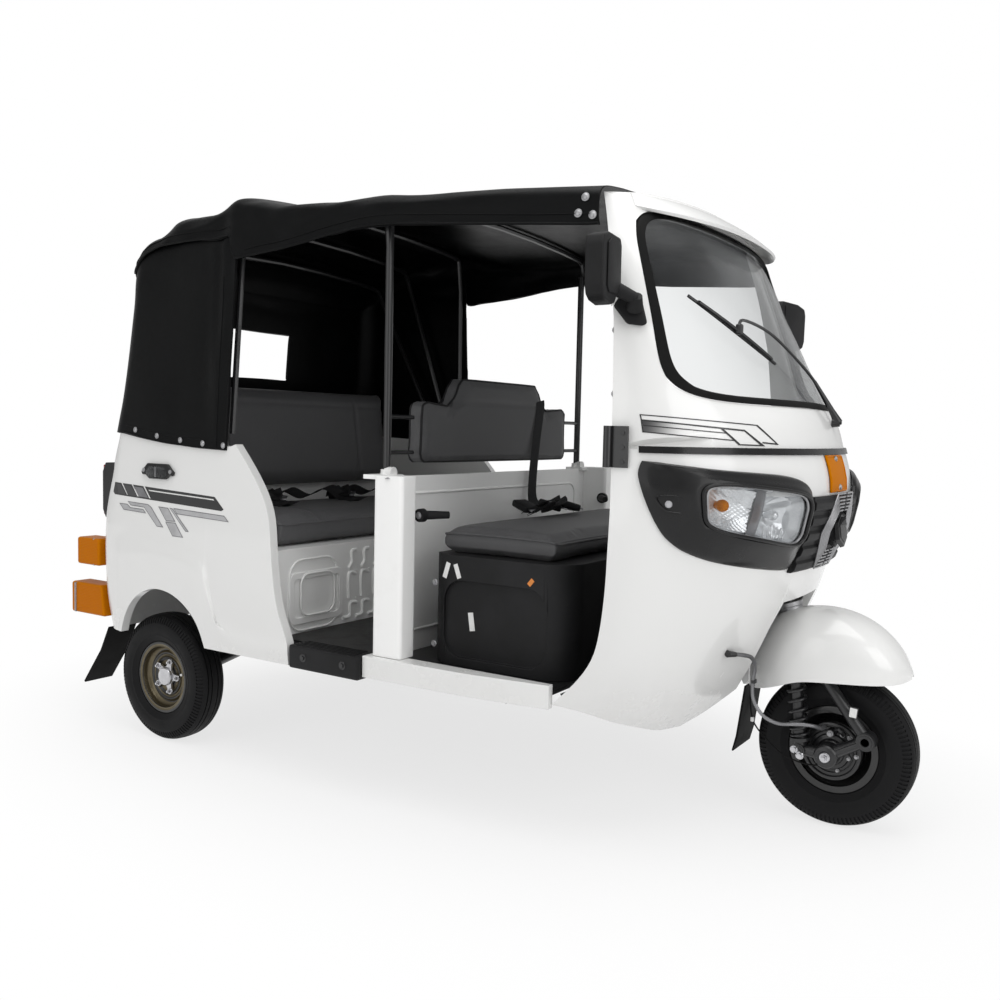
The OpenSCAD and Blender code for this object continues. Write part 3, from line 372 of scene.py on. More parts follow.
def amber_lens():
    """Amber lens plastic, ribbed inside."""
    made = Finish("amber lens", Roughness=0.3, Specular_IOR_Level=0.05)
    settings = bpy.context.scene.rickshaw_lamps
    ribs = made.waves(60, "Z") * 0.6 + made.waves(60, "Y") * 0.4
    made.set("Base Color", made.blend(ribs, settings.amber, shaded(settings.amber, 1, 0.72, 0.5)))
    return made.relief(ribs, 0.0012, 0.4)


def amber_plate():
    """Reflective amber sheet with a fine slanting hatch."""
    made = Finish("amber plate", Specular_IOR_Level=0.02)
    settings = bpy.context.scene.rickshaw_lamps
    hatch = made.waves(110, "DIAGONAL")
    made.set("Base Color", made.blend(hatch, settings.amber, shaded(settings.amber, 1, 0.75, 0.4)))
    made.set("Roughness", 0.3 + hatch * 0.15)
    return made


RECIPES = {
    "body white": body_white,
    "plastic black": plastic_black,
    "hood vinyl": hood_vinyl,
    "belt webbing": belt_webbing,
    "mat rubber": mat_rubber,
    "tyre rubber": tyre_rubber,
    "stripe fade": stripe_fade,
    "amber lens": amber_lens,
    "amber plate": amber_plate,
}


def recipe(make, name, *values, **fixed):
    """Adds a recipe that one of the functions above makes."""
    RECIPES[name] = make(name, *values, **fixed)


# Duller white inside the cabin, painted lighter than the body's paint against the shade there; stoved steel,
# the shiny plastic of the lamp bezels, and dusty rubber
recipe(
    cloudy, "inner white", ((0.95, 0.95, 0.94), (0.7, 0.68, 0.65)), 0.15, (0.38, 0.2),
    (14, 8, 0.7, 0.52, 0.8), (220, 3, 0.00025, 0.4), Coat_Weight=0.15, Coat_Roughness=0.2,
)
recipe(
    cloudy, "steel black", ((0.012, 0.012, 0.013), (0.06, 0.058, 0.055)), 0.5, (0.34, 0.25),
    (60, 8, 0.7, 0.62, 0.8), (300, 4, 0.0003, 0.4), Coat_Weight=0.2,
)
recipe(
    cloudy, "plastic gloss", ((0.005, 0.005, 0.0055), (0.009, 0.009, 0.0095)), 1, (0.26, 0.08),
    (12, 6, 0.5, 0.4, 0.7), (420, 3, 0.0002, 0.3),
    Coat_Weight=0.12, Coat_Roughness=0.08, Specular_IOR_Level=0.3,
)
recipe(
    cloudy, "soft rubber", ((0.005, 0.005, 0.005), (0.016, 0.0155, 0.015)), 0.6, (0.62, 0.2),
    (18, 8, 0.65, 0.45, 0.8), (260, 4, 0.0003, 0.5), Specular_IOR_Level=0.1,
)
# The rear bench stands in the hood's shade, so its cover is painted lighter than the front seats' to make up
# for that shade
recipe(seat_cover, "seat vinyl", 1, 1.9, 0.25, 0.1)
recipe(seat_cover, "seat dark", 1.8, 3.4, 0, 0.12)
# Both panes carry painted reflections in their colour
recipe(pane, "windscreen", (0.955, 0.962, 0.962, 1), 0.03)
recipe(pane, "clear lens", (0.98, 0.985, 0.99, 1), 0.04)
# Colour, roughness, metal, coat, and the grain's scale and depth
recipe(plain, "engine metal", (0.09, 0.09, 0.095), 0.55, 0.4)
recipe(plain, "bright steel", (0.62, 0.62, 0.64), 0.28, 1.0)
recipe(plain, "zinc", (0.42, 0.42, 0.43), 0.42, 0.9)
recipe(plain, "bronze", (0.14, 0.116, 0.07), 0.35, 0.85, 0.2)
recipe(plain, "rim black", (0.012, 0.012, 0.012), 0.34, 0.0, 0.3)
recipe(plain, "stripe black", (0.014, 0.014, 0.015), 0.3, 0.0, 0.4)
recipe(plain, "stripe dark", (0.05, 0.05, 0.052), 0.32, 0.1, 0.4)
recipe(plain, "stripe grey", (0.2, 0.2, 0.21), 0.32, 0.2, 0.4)
recipe(plain, "stripe silver", (0.5, 0.5, 0.51), 0.3, 0.3, 0.4)
recipe(plain, "label white", (0.78, 0.78, 0.77), 0.4)
recipe(plain, "label orange", (0.75, 0.25, 0.04), 0.4)
recipe(plain, "silver fin", (0.36, 0.36, 0.37), 0.3, 0.6, 0.2)
recipe(plain, "mirror glass", (0.8, 0.81, 0.82), 0.03, 1.0, 0.0, 30, 0.00001)
recipe(plain, "reflector", (0.86, 0.87, 0.88), 0.12, 0.45, 0.0, 90, 0.0003)
recipe(plain, "red lens", (0.42, 0.008, 0.006), 0.12, 0.0, 0.8, 60, 0.0004)
recipe(plain, "conduit steel", (0.3, 0.3, 0.31), 0.36, 0.8)


# Shapes


def merged(node, quads=False):
    """A copy of a CAD node's mesh with its loose triangles merged."""
    mesh = bmesh.new()
    mesh.from_mesh(frame["nodes"][node].data)
    bmesh.ops.remove_doubles(mesh, verts=mesh.verts, dist=2e-5)
    if quads:
        limits = {"angle_face_threshold": math.radians(25), "angle_shape_threshold": math.radians(70)}
        bmesh.ops.join_triangles(mesh, faces=mesh.faces, **limits)
    else:
        bmesh.ops.dissolve_limit(mesh, angle_limit=math.radians(0.5), verts=mesh.verts, edges=mesh.edges)
    return mesh


def object_of(name, mesh):
    """A new object of the scene from a bmesh, which is used up."""
    data = bpy.data.meshes.new(name)
    mesh.to_mesh(data)
    mesh.free()
    made = bpy.data.objects.new(name, data)
    bpy.context.scene.collection.objects.link(made)
    return made


def held(mesh, smooth):
    """Marks the edges that bend by more than an angle, so that subdivision keeps them sharp."""
    crease = mesh.edges.layers.float.new("crease_edge")
    for edge in mesh.edges:
        if bent(edge, smooth):
            edge[crease] = 1


def bent(edge, degrees):
    """Whether the faces at an edge meet at more than an angle; an open edge counts as bent."""
    return edge.calc_face_angle(3.2) > math.radians(degrees)


def subdivided(made, levels):
    """Gives an object a subdivision modifier."""
    rounding = made.modifiers.new("rounding", "SUBSURF")
    rounding.levels = rounding.render_levels = levels


def piece(name, mesh, finishes, body, slot, stands_for=(), smooth=35, bevel=0.0, levels=0):
    """Makes the object of a finished bmesh, shades it and lets it ride."""
    if levels:
        held(mesh, smooth)
    for edge in mesh.edges:
        edge.smooth = not bent(edge, smooth)
    for face in mesh.faces:
        face.smooth = True
    made = object_of(name, mesh)
    for each in [finishes] if isinstance(finishes, str) else finishes:
        made.data.materials.append(finish(each))
    if bevel:
        edges = made.modifiers.new("edges", "BEVEL")
        edges.width, edges.segments, edges.limit_method = bevel, 2, "ANGLE"
        edges.angle_limit, edges.harden_normals = math.radians(smooth), True
    if levels:
        subdivided(made, levels)
    if body:
        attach(made, body)
    if stands_for:
        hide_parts(*stands_for)
    return made


def dressed(nodes, finishes, **options):
    """Each node's merged copy as a piece that stands for it."""
    for node in nodes.split():
        mesh = merged(node, quads=bool(options.get("levels")))
        piece(node + "_dressed", mesh, finishes, BODY_OF[node], SLOT_OF[node], (node,), **options)


def facing(point, direction):
    """A matrix that stands a shape's local z along a direction at a point."""
    return Matrix.Translation(point) @ Vector(direction).to_track_quat("Z", "Y").to_matrix().to_4x4()


def rounded(points, steps=6, closed=False):
    """Points on a smooth curve through the given ones."""
    p = [Vector(q) for q in points]
    n = len(p)
    out = []
    for i in range(n if closed else n - 1):
        a, b, c, d = (p[(i + k) % n] if closed else p[min(max(i + k, 0), n - 1)] for k in (-1, 0, 1, 2))
        for j in range(steps):
            t = j / steps
            square, cube = 2 * a - 5 * b + 4 * c - d, 3 * b - a - 3 * c + d
            out.append(0.5 * ((2 * b) + (c - a) * t + square * t * t + cube * t**3))
    return out if closed else out + [p[-1]]


def add(mesh, part, index=0, place=None):
    """Moves a part's shape into a piece's mesh, placed by a matrix and in one finish."""
    if place is not None:
        part.transform(place)
    for face in part.faces:
        face.material_index = index
    data = bpy.data.meshes.new("part")
    part.to_mesh(data)
    part.free()
    mesh.from_mesh(data)
    bpy.data.meshes.remove(data)


def pipe(mesh, points, radius, sides=3, closed=False, index=0):
    """A round tube along a line of points."""
    curve = bpy.data.curves.new("line", "CURVE")
    curve.dimensions, curve.use_fill_caps = "3D", True
    curve.bevel_depth, curve.bevel_resolution = radius, sides
    spline = curve.splines.new("POLY")
    spline.points.add(len(points) - 1)
    for place, point in zip(spline.points, points):
        place.co = (*point, 1)
    spline.use_cyclic_u = closed
    holder = bpy.data.objects.new("line", curve)
    data = bpy.data.meshes.new_from_object(holder)
    part = bmesh.new()
    part.from_mesh(data)
    add(mesh, part, index)
    bpy.data.objects.remove(holder)
    bpy.data.curves.remove(curve)
    bpy.data.meshes.remove(data)


def block(mesh, size, place, bevel=0.0, segments=2, index=0):
    """A box of that size with rounded edges, placed by a matrix at its middle."""
    part = bmesh.new()
    bmesh.ops.create_cube(part, size=1)
    bmesh.ops.scale(part, vec=size, verts=part.verts)
    if bevel:
        options = {"affect": "EDGES", "segments": segments, "profile": 0.5, "material": -1}
        bmesh.ops.bevel(part, geom=part.edges, offset=bevel, **options)
    add(mesh, part, index, place)


def lathe(mesh, profile, place, steps=48, index=0, closed=False):
    """Turns a profile of radius and height round a matrix's z; a closed one is a ring's section."""
    part = bmesh.new()
    dots = [part.verts.new((r, 0, h)) for r, h in profile]
    lines = [part.edges.new(pair) for pair in zip(dots, dots[1:] + dots[:1] if closed else dots[1:])]
    turn = {"cent": (0, 0, 0), "axis": (0, 0, 1), "angle": 2 * math.pi, "steps": steps}
    bmesh.ops.spin(part, geom=dots + lines, use_merge=True, **turn)
    bmesh.ops.remove_doubles(part, verts=part.verts, dist=1e-5)
    bmesh.ops.recalc_face_normals(part, faces=part.faces)
    add(mesh, part, index, place)


def screw(mesh, point, direction, radius=0.005, height=0.003, sides=6, index=0):
    """A screw or bolt head with a washer under it."""
    part = bmesh.new()
    for r, h, n in ((radius * 1.5, height * 0.35, 14), (radius, height, sides)):
        size = {"radius1": r, "radius2": r * 0.86, "depth": h, "matrix": Matrix.Translation((0, 0, h / 2))}
        bmesh.ops.create_cone(part, cap_ends=True, segments=n, **size)
    add(mesh, part, index, facing(point, direction))


def skin_of(name):
    """The shown surface of a piece, for laying things on."""
    bpy.context.view_layer.update()
    return BVHTree.FromObject(bpy.data.objects[name], bpy.context.evaluated_depsgraph_get())


def laid(skin, points, shift=(0, 0, 0)):
    """The places on a surface that are nearest to the points, each moved by a shift first."""
    return [skin.find_nearest(Vector(point) + Vector(shift))[0] for point in points]


def lay_on(mesh, skin, toward, lift):
    """Moves each vertex along a direction onto a surface, and lifts it off by a little."""
    toward = Vector(toward).normalized()
    for vert in mesh.verts:
        place, normal, _, _ = skin.ray_cast(vert.co - toward * 1.0, toward)
        if place is not None:
            if normal.dot(toward) > 0:
                normal = -normal
            vert.co = place + normal * lift


def refined(mesh, levels, smooth):
    """A shell's mesh after rounding by subdivision, with its sharp edges held."""
    held(mesh, smooth)
    holder = object_of("shape", mesh)
    subdivided(holder, levels)
    done = bmesh.new()
    done.from_mesh(shown_mesh(holder))
    bpy.data.objects.remove(holder)
    return done


def shown_mesh(obj):
    """A copy of an object's mesh with its modifiers applied."""
    bpy.context.view_layer.update()
    return bpy.data.meshes.new_from_object(obj.evaluated_get(bpy.context.evaluated_depsgraph_get()))


def both_sides(mesh):
    """Adds the mirrored copy on the vehicle's other side, with its faces turned outwards again."""
    copy = bmesh.ops.duplicate(mesh, geom=mesh.verts[:] + mesh.edges[:] + mesh.faces[:])["geom"]
    kinds = (bmesh.types.BMVert, bmesh.types.BMFace)
    verts, faces = ([each for each in copy if isinstance(each, kind)] for kind in kinds)
    bmesh.ops.scale(mesh, vec=(1, -1, 1), verts=verts)
    bmesh.ops.reverse_faces(mesh, faces=faces)
    return mesh


def grid_of(mesh, columns, rows, place, index=0, thickness=0.0):
    """A grid whose points go where place(u, v) says, both from 0 to 1, and which then gets a thickness."""
    part = bmesh.new()
    for vert in bmesh.ops.create_grid(part, x_segments=columns, y_segments=rows, size=0.5)["verts"]:
        vert.co = place(vert.co.x + 0.5, vert.co.y + 0.5)
    if thickness:
        bmesh.ops.solidify(part, geom=part.faces, thickness=thickness)
    add(mesh, part, index)


def sides_of(corners, steps):
    """Evenly spread points along the sides of a closed outline."""
    shares = np.linspace(0, 1, steps + 1)[:-1]
    pairs = zip(corners, corners[1:] + corners[:1])
    return [(a + (c - a) * t, b + (d - b) * t) for (a, b), (c, d) in pairs for t in shares]


def along(points, share):
    """The place at a share of the way along a line of evenly spread points."""
    where = min(max(share, 0), 0.99999) * (len(points) - 1)
    first = int(where)
    return points[first].lerp(points[first + 1], where - first)


def strap(mesh, points, across, width, thickness=0.0018, index=0, columns=40):
    """A flat strap along a smooth line, with its width in the given direction."""
    line = rounded(points, 8)
    side = Vector(across).normalized() * width
    grid_of(mesh, columns, 2, lambda u, v: along(line, u) + side * (v - 0.5), index, thickness)


def bar(mesh, start, end, radius, far_radius=None, sides=24, index=0):
    """A round bar, straight or tapered, between two points."""
    part = bmesh.new()
    start, end = Vector(start), Vector(end)
    far = radius if far_radius is None else far_radius
    size = {"radius1": radius, "radius2": far, "depth": (end - start).length}
    bmesh.ops.create_cone(part, cap_ends=True, segments=sides, **size)
    add(mesh, part, index, facing((start + end) / 2, end - start))


def plate(mesh, corners, depth, bevel=0.0, segments=2, index=0):
    """A flat plate from its outline, pulled out by a vector, with rounded edges."""
    part = bmesh.new()
    face = part.faces.new([part.verts.new(corner) for corner in corners])
    lifted = bmesh.ops.extrude_face_region(part, geom=[face], use_keep_orig=True)["geom"]
    corners = [each for each in lifted if isinstance(each, bmesh.types.BMVert)]
    bmesh.ops.translate(part, vec=depth, verts=corners)
    bmesh.ops.recalc_face_normals(part, faces=part.faces)
    if bevel:
        sharp = [edge for edge in part.edges if edge.calc_face_angle(0) > math.radians(20)]
        options = {"affect": "EDGES", "segments": segments, "profile": 0.5, "material": -1}
        bmesh.ops.bevel(part, geom=sharp, offset=bevel, clamp_overlap=True, **options)
    add(mesh, part, index)


def lookup(rows, key, column=1):
    """A column of a table at a value of its first column, with straight lines between the rows."""
    return float(np.interp(key, [row[0] for row in rows], [row[column] for row in rows]))


# The cowl's form, in millimetres: height, half width, rear edge and nose behind the front axle
COWL = [
    (262, 470, 545, 295), (300, 530, 545, 262), (355, 592, 545, 220), (400, 596, 500, 196),
    (450, 597, 440, 172), (512, 598, 420, 145), (600, 599, 407, 107), (675, 600, 401, 88),
    (740, 600, 399, 62), (790, 600, 397, 43), (850, 600, 395, 30), (885, 600, 395, 27), (919, 600, 395, 29),
    (955, 599, 396, 37), (992, 598, 397, 50), (1063, 594, 399, 70), (1120, 590, 402, 105),
    (1300, 572, 414, 203), (1450, 548, 440, 283), (1539, 530, 460, 333), (1600, 515, 477, 370),
    (1660, 500, 500, 405),
]
COWL_POWER = 2.1
# The corners of a headlamp's opening: distance from the middle and height
LENS = [(226, 756), (508, 810), (518, 920), (226, 886)]


def on_cowl(y, z, lift=0.0):
    """The point of the cowl at a distance y from the middle and a height z, lifted off it, in millimetres."""
    width = lookup(COWL, z)
    rear = FRONT_AXLE - lookup(COWL, z, 2)
    length = FRONT_AXLE - lookup(COWL, z, 3) - rear
    s = max(-1.0, min(1.0, y / width))
    c = (1 - abs(s) ** COWL_POWER) ** (1 / COWL_POWER)
    across = math.copysign(abs(s) ** (COWL_POWER - 1), s) / width
    out = Vector((c ** (COWL_POWER - 1) / length, across, 0)).normalized()
    return at(rear + length * c, width * s, z) + out * (lift / 1000)


def cowl_out(y, z):
    """The direction straight out of the cowl there."""
    return (on_cowl(y, z, 10) - on_cowl(y, z, 0)).normalized()


def squircle(a, b, bend):
    """A point of the square of side 2, drawn in to an outline with round corners."""
    most = max(abs(a), abs(b))
    if most < 1e-9:
        return 0.0, 0.0
    n = (abs(a / most) ** bend + abs(b / most) ** bend) ** (1 / bend)
    return a / n, b / n


def lens_point(a, b):
    """A point of the headlamp's opening; a and b run from -1 to 1 outwards along it and up it."""
    a, b = squircle(a, b, 5)
    u, v = (a + 1) / 2, (b + 1) / 2
    low, high = (Vector(LENS[0]).lerp(Vector(LENS[1]), u), Vector(LENS[3]).lerp(Vector(LENS[2]), u))
    return low.lerp(high, v)


def on_lens(a, b, lift):
    """That point of the right headlamp's opening on the cowl, lifted off it."""
    y, z = lens_point(a, b)
    return on_cowl(-y, z, lift)


def rippled(point, size, seed=0.0):
    """Soft noise from -1 to 1 whose lumps have a size along each axis, in metres."""
    return noise.noise(Vector((point.x / size[0] + seed, point.y / size[1], point.z / size[2])))


def ridged(point, size, seed=0.0):
    """Noise with narrow ridges, for drawn folds."""
    return 1 - min(1.0, 2.6 * abs(rippled(point, size, seed)))


def outwards(vert, middle):
    """The shell's outward direction at one of its points, on either face of it."""
    return vert.normal if vert.normal.dot(vert.co - middle) > 0 else -vert.normal


def pulled(mesh, middle, depth):
    """Moves every point of a shell outwards by what depth(point) says."""
    mesh.normal_update()
    for vert, out in [(vert, outwards(vert, middle).copy()) for vert in mesh.verts]:
        vert.co = vert.co + out * depth(vert.co)


def stop(value, low, high):
    """0 below low, 1 above high, smooth between."""
    t = min(1.0, max(0.0, (value - low) / (high - low)))
    return t * t * (3 - 2 * t)


def groove(value, middle, width):
    """1 at the middle of a groove, falling off softly on both sides."""
    return math.exp(-(((value - middle) / width) ** 2))


def outline(corners, grid):
    """A flat face from its corners, cut by a grid so that it can follow a curved surface."""
    part = bmesh.new()
    part.faces.new([part.verts.new(c) for c in corners])
    for k in range(3):
        low, high = min(c[k] for c in corners), max(c[k] for c in corners)
        for i in range(1, int((high - low) / grid) + 1):
            across = [float(k == each) for each in range(3)]
            geometry = part.faces[:] + part.edges[:] + part.verts[:]
            place = [(low + i * grid) * c for c in across]
            bmesh.ops.bisect_plane(part, geom=geometry, plane_co=place, plane_no=across, dist=1e-6)
    return part


def colour_setting(name, note, default):
    """A colour that can be set."""
    return bpy.props.FloatVectorProperty(
        name=name, description=note, subtype="COLOR", size=3, default=default, min=0, max=1
    )


def length_setting(name, note, default):
    """A length that can be set, in metres."""
    return bpy.props.FloatProperty(name=name, description=note, default=default, unit="LENGTH")


class BodySettings(bpy.types.PropertyGroup):
    """The painted body."""

    paint: colour_setting("Paint", "Colour of the body panels", (0.82, 0.82, 0.81))
    stripe_lift: length_setting("Stripe thickness", "How far the stripes stand off the paint", 0.0005)
    edge: length_setting("Edge radius", "Rounding of the pressed panels' edges", 0.002)


class HoodSettings(bpy.types.PropertyGroup):
    """The folding hood."""

    colour: colour_setting("Vinyl", "Colour of the hood cloth", (0.0022, 0.0024, 0.0026))
    sag: length_setting("Wrinkle depth", "Depth of the cloth's wrinkles", 0.0075)
    stud_radius: length_setting("Stud radius", "Radius of the snap studs", 0.007)


class SeatSettings(bpy.types.PropertyGroup):
    """The cushions."""

    colour: colour_setting("Cover", "Colour of the seat covers", (0.052, 0.052, 0.054))
    piping: length_setting("Piping radius", "Radius of the piping along the seams", 0.0035)


class WheelSettings(bpy.types.PropertyGroup):
    """Tyres and rims."""

    rubber: colour_setting("Rubber", "Colour of the tyres", (0.0045, 0.0045, 0.005))
    blocks: bpy.props.IntProperty(
        name="Shoulder blocks",
        description="Number of blocks round each shoulder",
        default=104,
        min=24,
        max=140,
    )


class LampSettings(bpy.types.PropertyGroup):
    """Lamps and reflectors."""

    amber: colour_setting("Amber", "Colour of the amber lenses", (0.54, 0.19, 0.0005))


class StageSettings(bpy.types.PropertyGroup):
    """Floor, light and camera."""

    key: bpy.props.FloatProperty(
        name="Key light", description="Power of the large overhead lamp, in watts", default=71
    )
    fill: bpy.props.FloatProperty(
        name="Fill light", description="Strength of the light from all round", default=0.5
    )


class RICKSHAW_OT_camera(bpy.types.Operator):
    """Sets up the camera at the height of the waist line, ahead of the right front corner"""

    bl_idname = "rickshaw.camera"
    bl_label = "Camera"

    PLACE = (1.7854, -2.7067, 1.0292)
    YAW, PITCH, ROLL = (math.radians(degrees) for degrees in (123.081, -3.99, 1.277))
    SENSOR, LENS = 36, 36.0756

    def execute(self, context):
        view = bpy.data.cameras.new("view")
        view.sensor_width, view.lens = self.SENSOR, self.LENS
        camera = bpy.data.objects.new("camera", view)
        context.scene.collection.objects.link(camera)
        level = math.cos(self.PITCH)
        ahead = Vector((level * math.cos(self.YAW), level * math.sin(self.YAW), math.sin(self.PITCH)))
        right = Vector((math.sin(self.YAW), -math.cos(self.YAW), 0))
        up = right.cross(ahead)
        c, s = math.cos(self.ROLL), math.sin(self.ROLL)
        right, up = right * c + up * s, up * c - right * s
        turn = Matrix((right, up, -ahead)).transposed().to_4x4()
        camera.matrix_world = Matrix.Translation(self.PLACE) @ turn
        context.scene.camera = camera
        return {"FINISHED"}


class RICKSHAW_OT_panels(bpy.types.Operator):
    """Dresses the pressed and welded body panels"""

    bl_idname = "rickshaw.panels"
    bl_label = "Body panels"

    # The fender's sections, in millimetres: forward of the front axle, height of the top, half width and
    # height of the lower edge
    FENDER = [
        (-236, 446, 40, 346), (-215, 500, 74, 348), (-180, 545, 98, 356), (-130, 568, 122, 374),
        (-80, 578, 131, 398), (-20, 580, 132, 404), (45, 566, 126, 408), (105, 532, 112, 410),
        (150, 486, 84, 412), (172, 446, 46, 415), (182, 430, 12, 420),
    ]
    # The bulkhead's pressed frames: forward of the rear axle, from the middle, width, height, corner radius
    PRESSINGS = [(479.5, 421, 216, 220, 55), (486, 410, 150, 130, 34)]
    # Its rows of bent slots: the row's height, then offsets inwards and up
    BENT_SLOTS = [
        (604, ((14, -34), (-2, -14), (0, 20), (-22, 26))),
        (516, ((12, -44), (12, 36), (-22, 34))),
        (428, ((-26, 26), (4, 26), (6, -14), (38, -18))),
    ]

    def execute(self, context):
        edge = context.scene.rickshaw_body.edge
        cowl = merged("cowl", quads=True)
        opening = [face for face in cowl.faces if self.in_opening(face)]
        bmesh.ops.delete(cowl, geom=opening, context="FACES")
        piece("cowl_dressed", cowl, "body white", "body", SLOT_OF["cowl"], ("cowl",), levels=2, smooth=30)
        dressed("screen_surround quarters", "body white", levels=2, smooth=30)
        self.fender()
        dressed("rear_panel hatch sills", "body white", bevel=edge, smooth=30)
        # The bulkhead and partition take the white that is painted lighter against the cabin's shade
        dressed("bulkhead partition", "inner white", bevel=edge * 1.5, smooth=30)

        pressings = bmesh.new()
        for side, (x, middle, wide, high, radius) in itertools.product((-1, 1), self.PRESSINGS):
            rim = self.round_rectangle(wide, high, radius)
            loop = [at(x, middle * side + dy, 509 + dz) for dy, dz in rim]
            pipe(pressings, loop, 0.0035, 2, closed=True)
        for column in range(-4, 5):
            y = 62 * column
            for z, bend in self.BENT_SLOTS:
                slot = [at(479, y - dy, z + dz) for dy, dz in bend]
                pipe(pressings, rounded(slot, 5), 0.006, 3)
            for z in (560, 470):
                screw(pressings, at(478.5, y + 26, z), (1, 0, 0), 0.003, 0.002, 12)
        for y, z in ((-566, 560), (-566, 520), (566, 560), (566, 520)):
            screw(pressings, at(478, y, z), (1, 0, 0), 0.005)
        loop = [at(893, dy, 647 + dz) for dy, dz in self.round_rectangle(980, 395, 40)]
        pipe(pressings, loop, 0.004, 2, closed=True)
        # The pressed lines take the cabin's white, painted lighter against its shade
        piece("pressed_lines", pressings, "inner white", "body", "white_paint", smooth=60)

        hatch = bmesh.new()
        for z in range(470, 570, 22):
            for y in (-150, 150):
                block(hatch, (0.006, 0.17, 0.009), turned(at(-311, y, z), 0.5), 0.002)
        piece("hatch_louvres", hatch, "body white", "hatch", "white_paint")
        return {"FINISHED"}

    def fender(self):
        """The front fender: a pressed shell with a rolled edge, closed over the fork's shoulders."""
        shell = bmesh.new()
        last = len(self.FENDER) - 1

        def place(u, v):
            x, top, half, low = self.FENDER[round(last * u)]
            c, s = math.cos(math.pi * v), max(0.0, math.sin(math.pi * v))
            y = math.copysign(abs(c) ** 0.72, c) * half
            return at(FRONT_AXLE + x, -y, low + (top - low) * s ** 0.72)

        grid_of(shell, last, 14, place, thickness=0.003)
        look = ("body white", "steering", "white_paint")
        piece("front_fender_built", shell, *look, ("front_fender",), levels=2, smooth=60)

    @staticmethod
    def in_opening(face):
        """Whether a face of the cowl lies in a headlamp's opening."""
        middle = face.calc_center_median()
        y, z = abs(middle.y) * 1000, middle.z * 1000
        low, high = np.interp(y, [210, 524], [752, 806]), np.interp(y, [210, 524], [884, 922])
        return 214 < y < 520 and low < z < high and middle.x > at(1500, 0, 0).x

    @staticmethod
    def round_rectangle(wide, high, radius):
        """The outline of a rectangle with round corners, as pairs of offsets from its middle."""
        points = []
        for quarter, (sx, sz) in enumerate(((1, 1), (-1, 1), (-1, -1), (1, -1))):
            for step in range(6):
                angle = math.radians(90 * quarter + 18 * step)
                x = sx * (wide / 2 - radius) + radius * math.cos(angle)
                points.append((x, sz * (high / 2 - radius) + radius * math.sin(angle)))
        return points


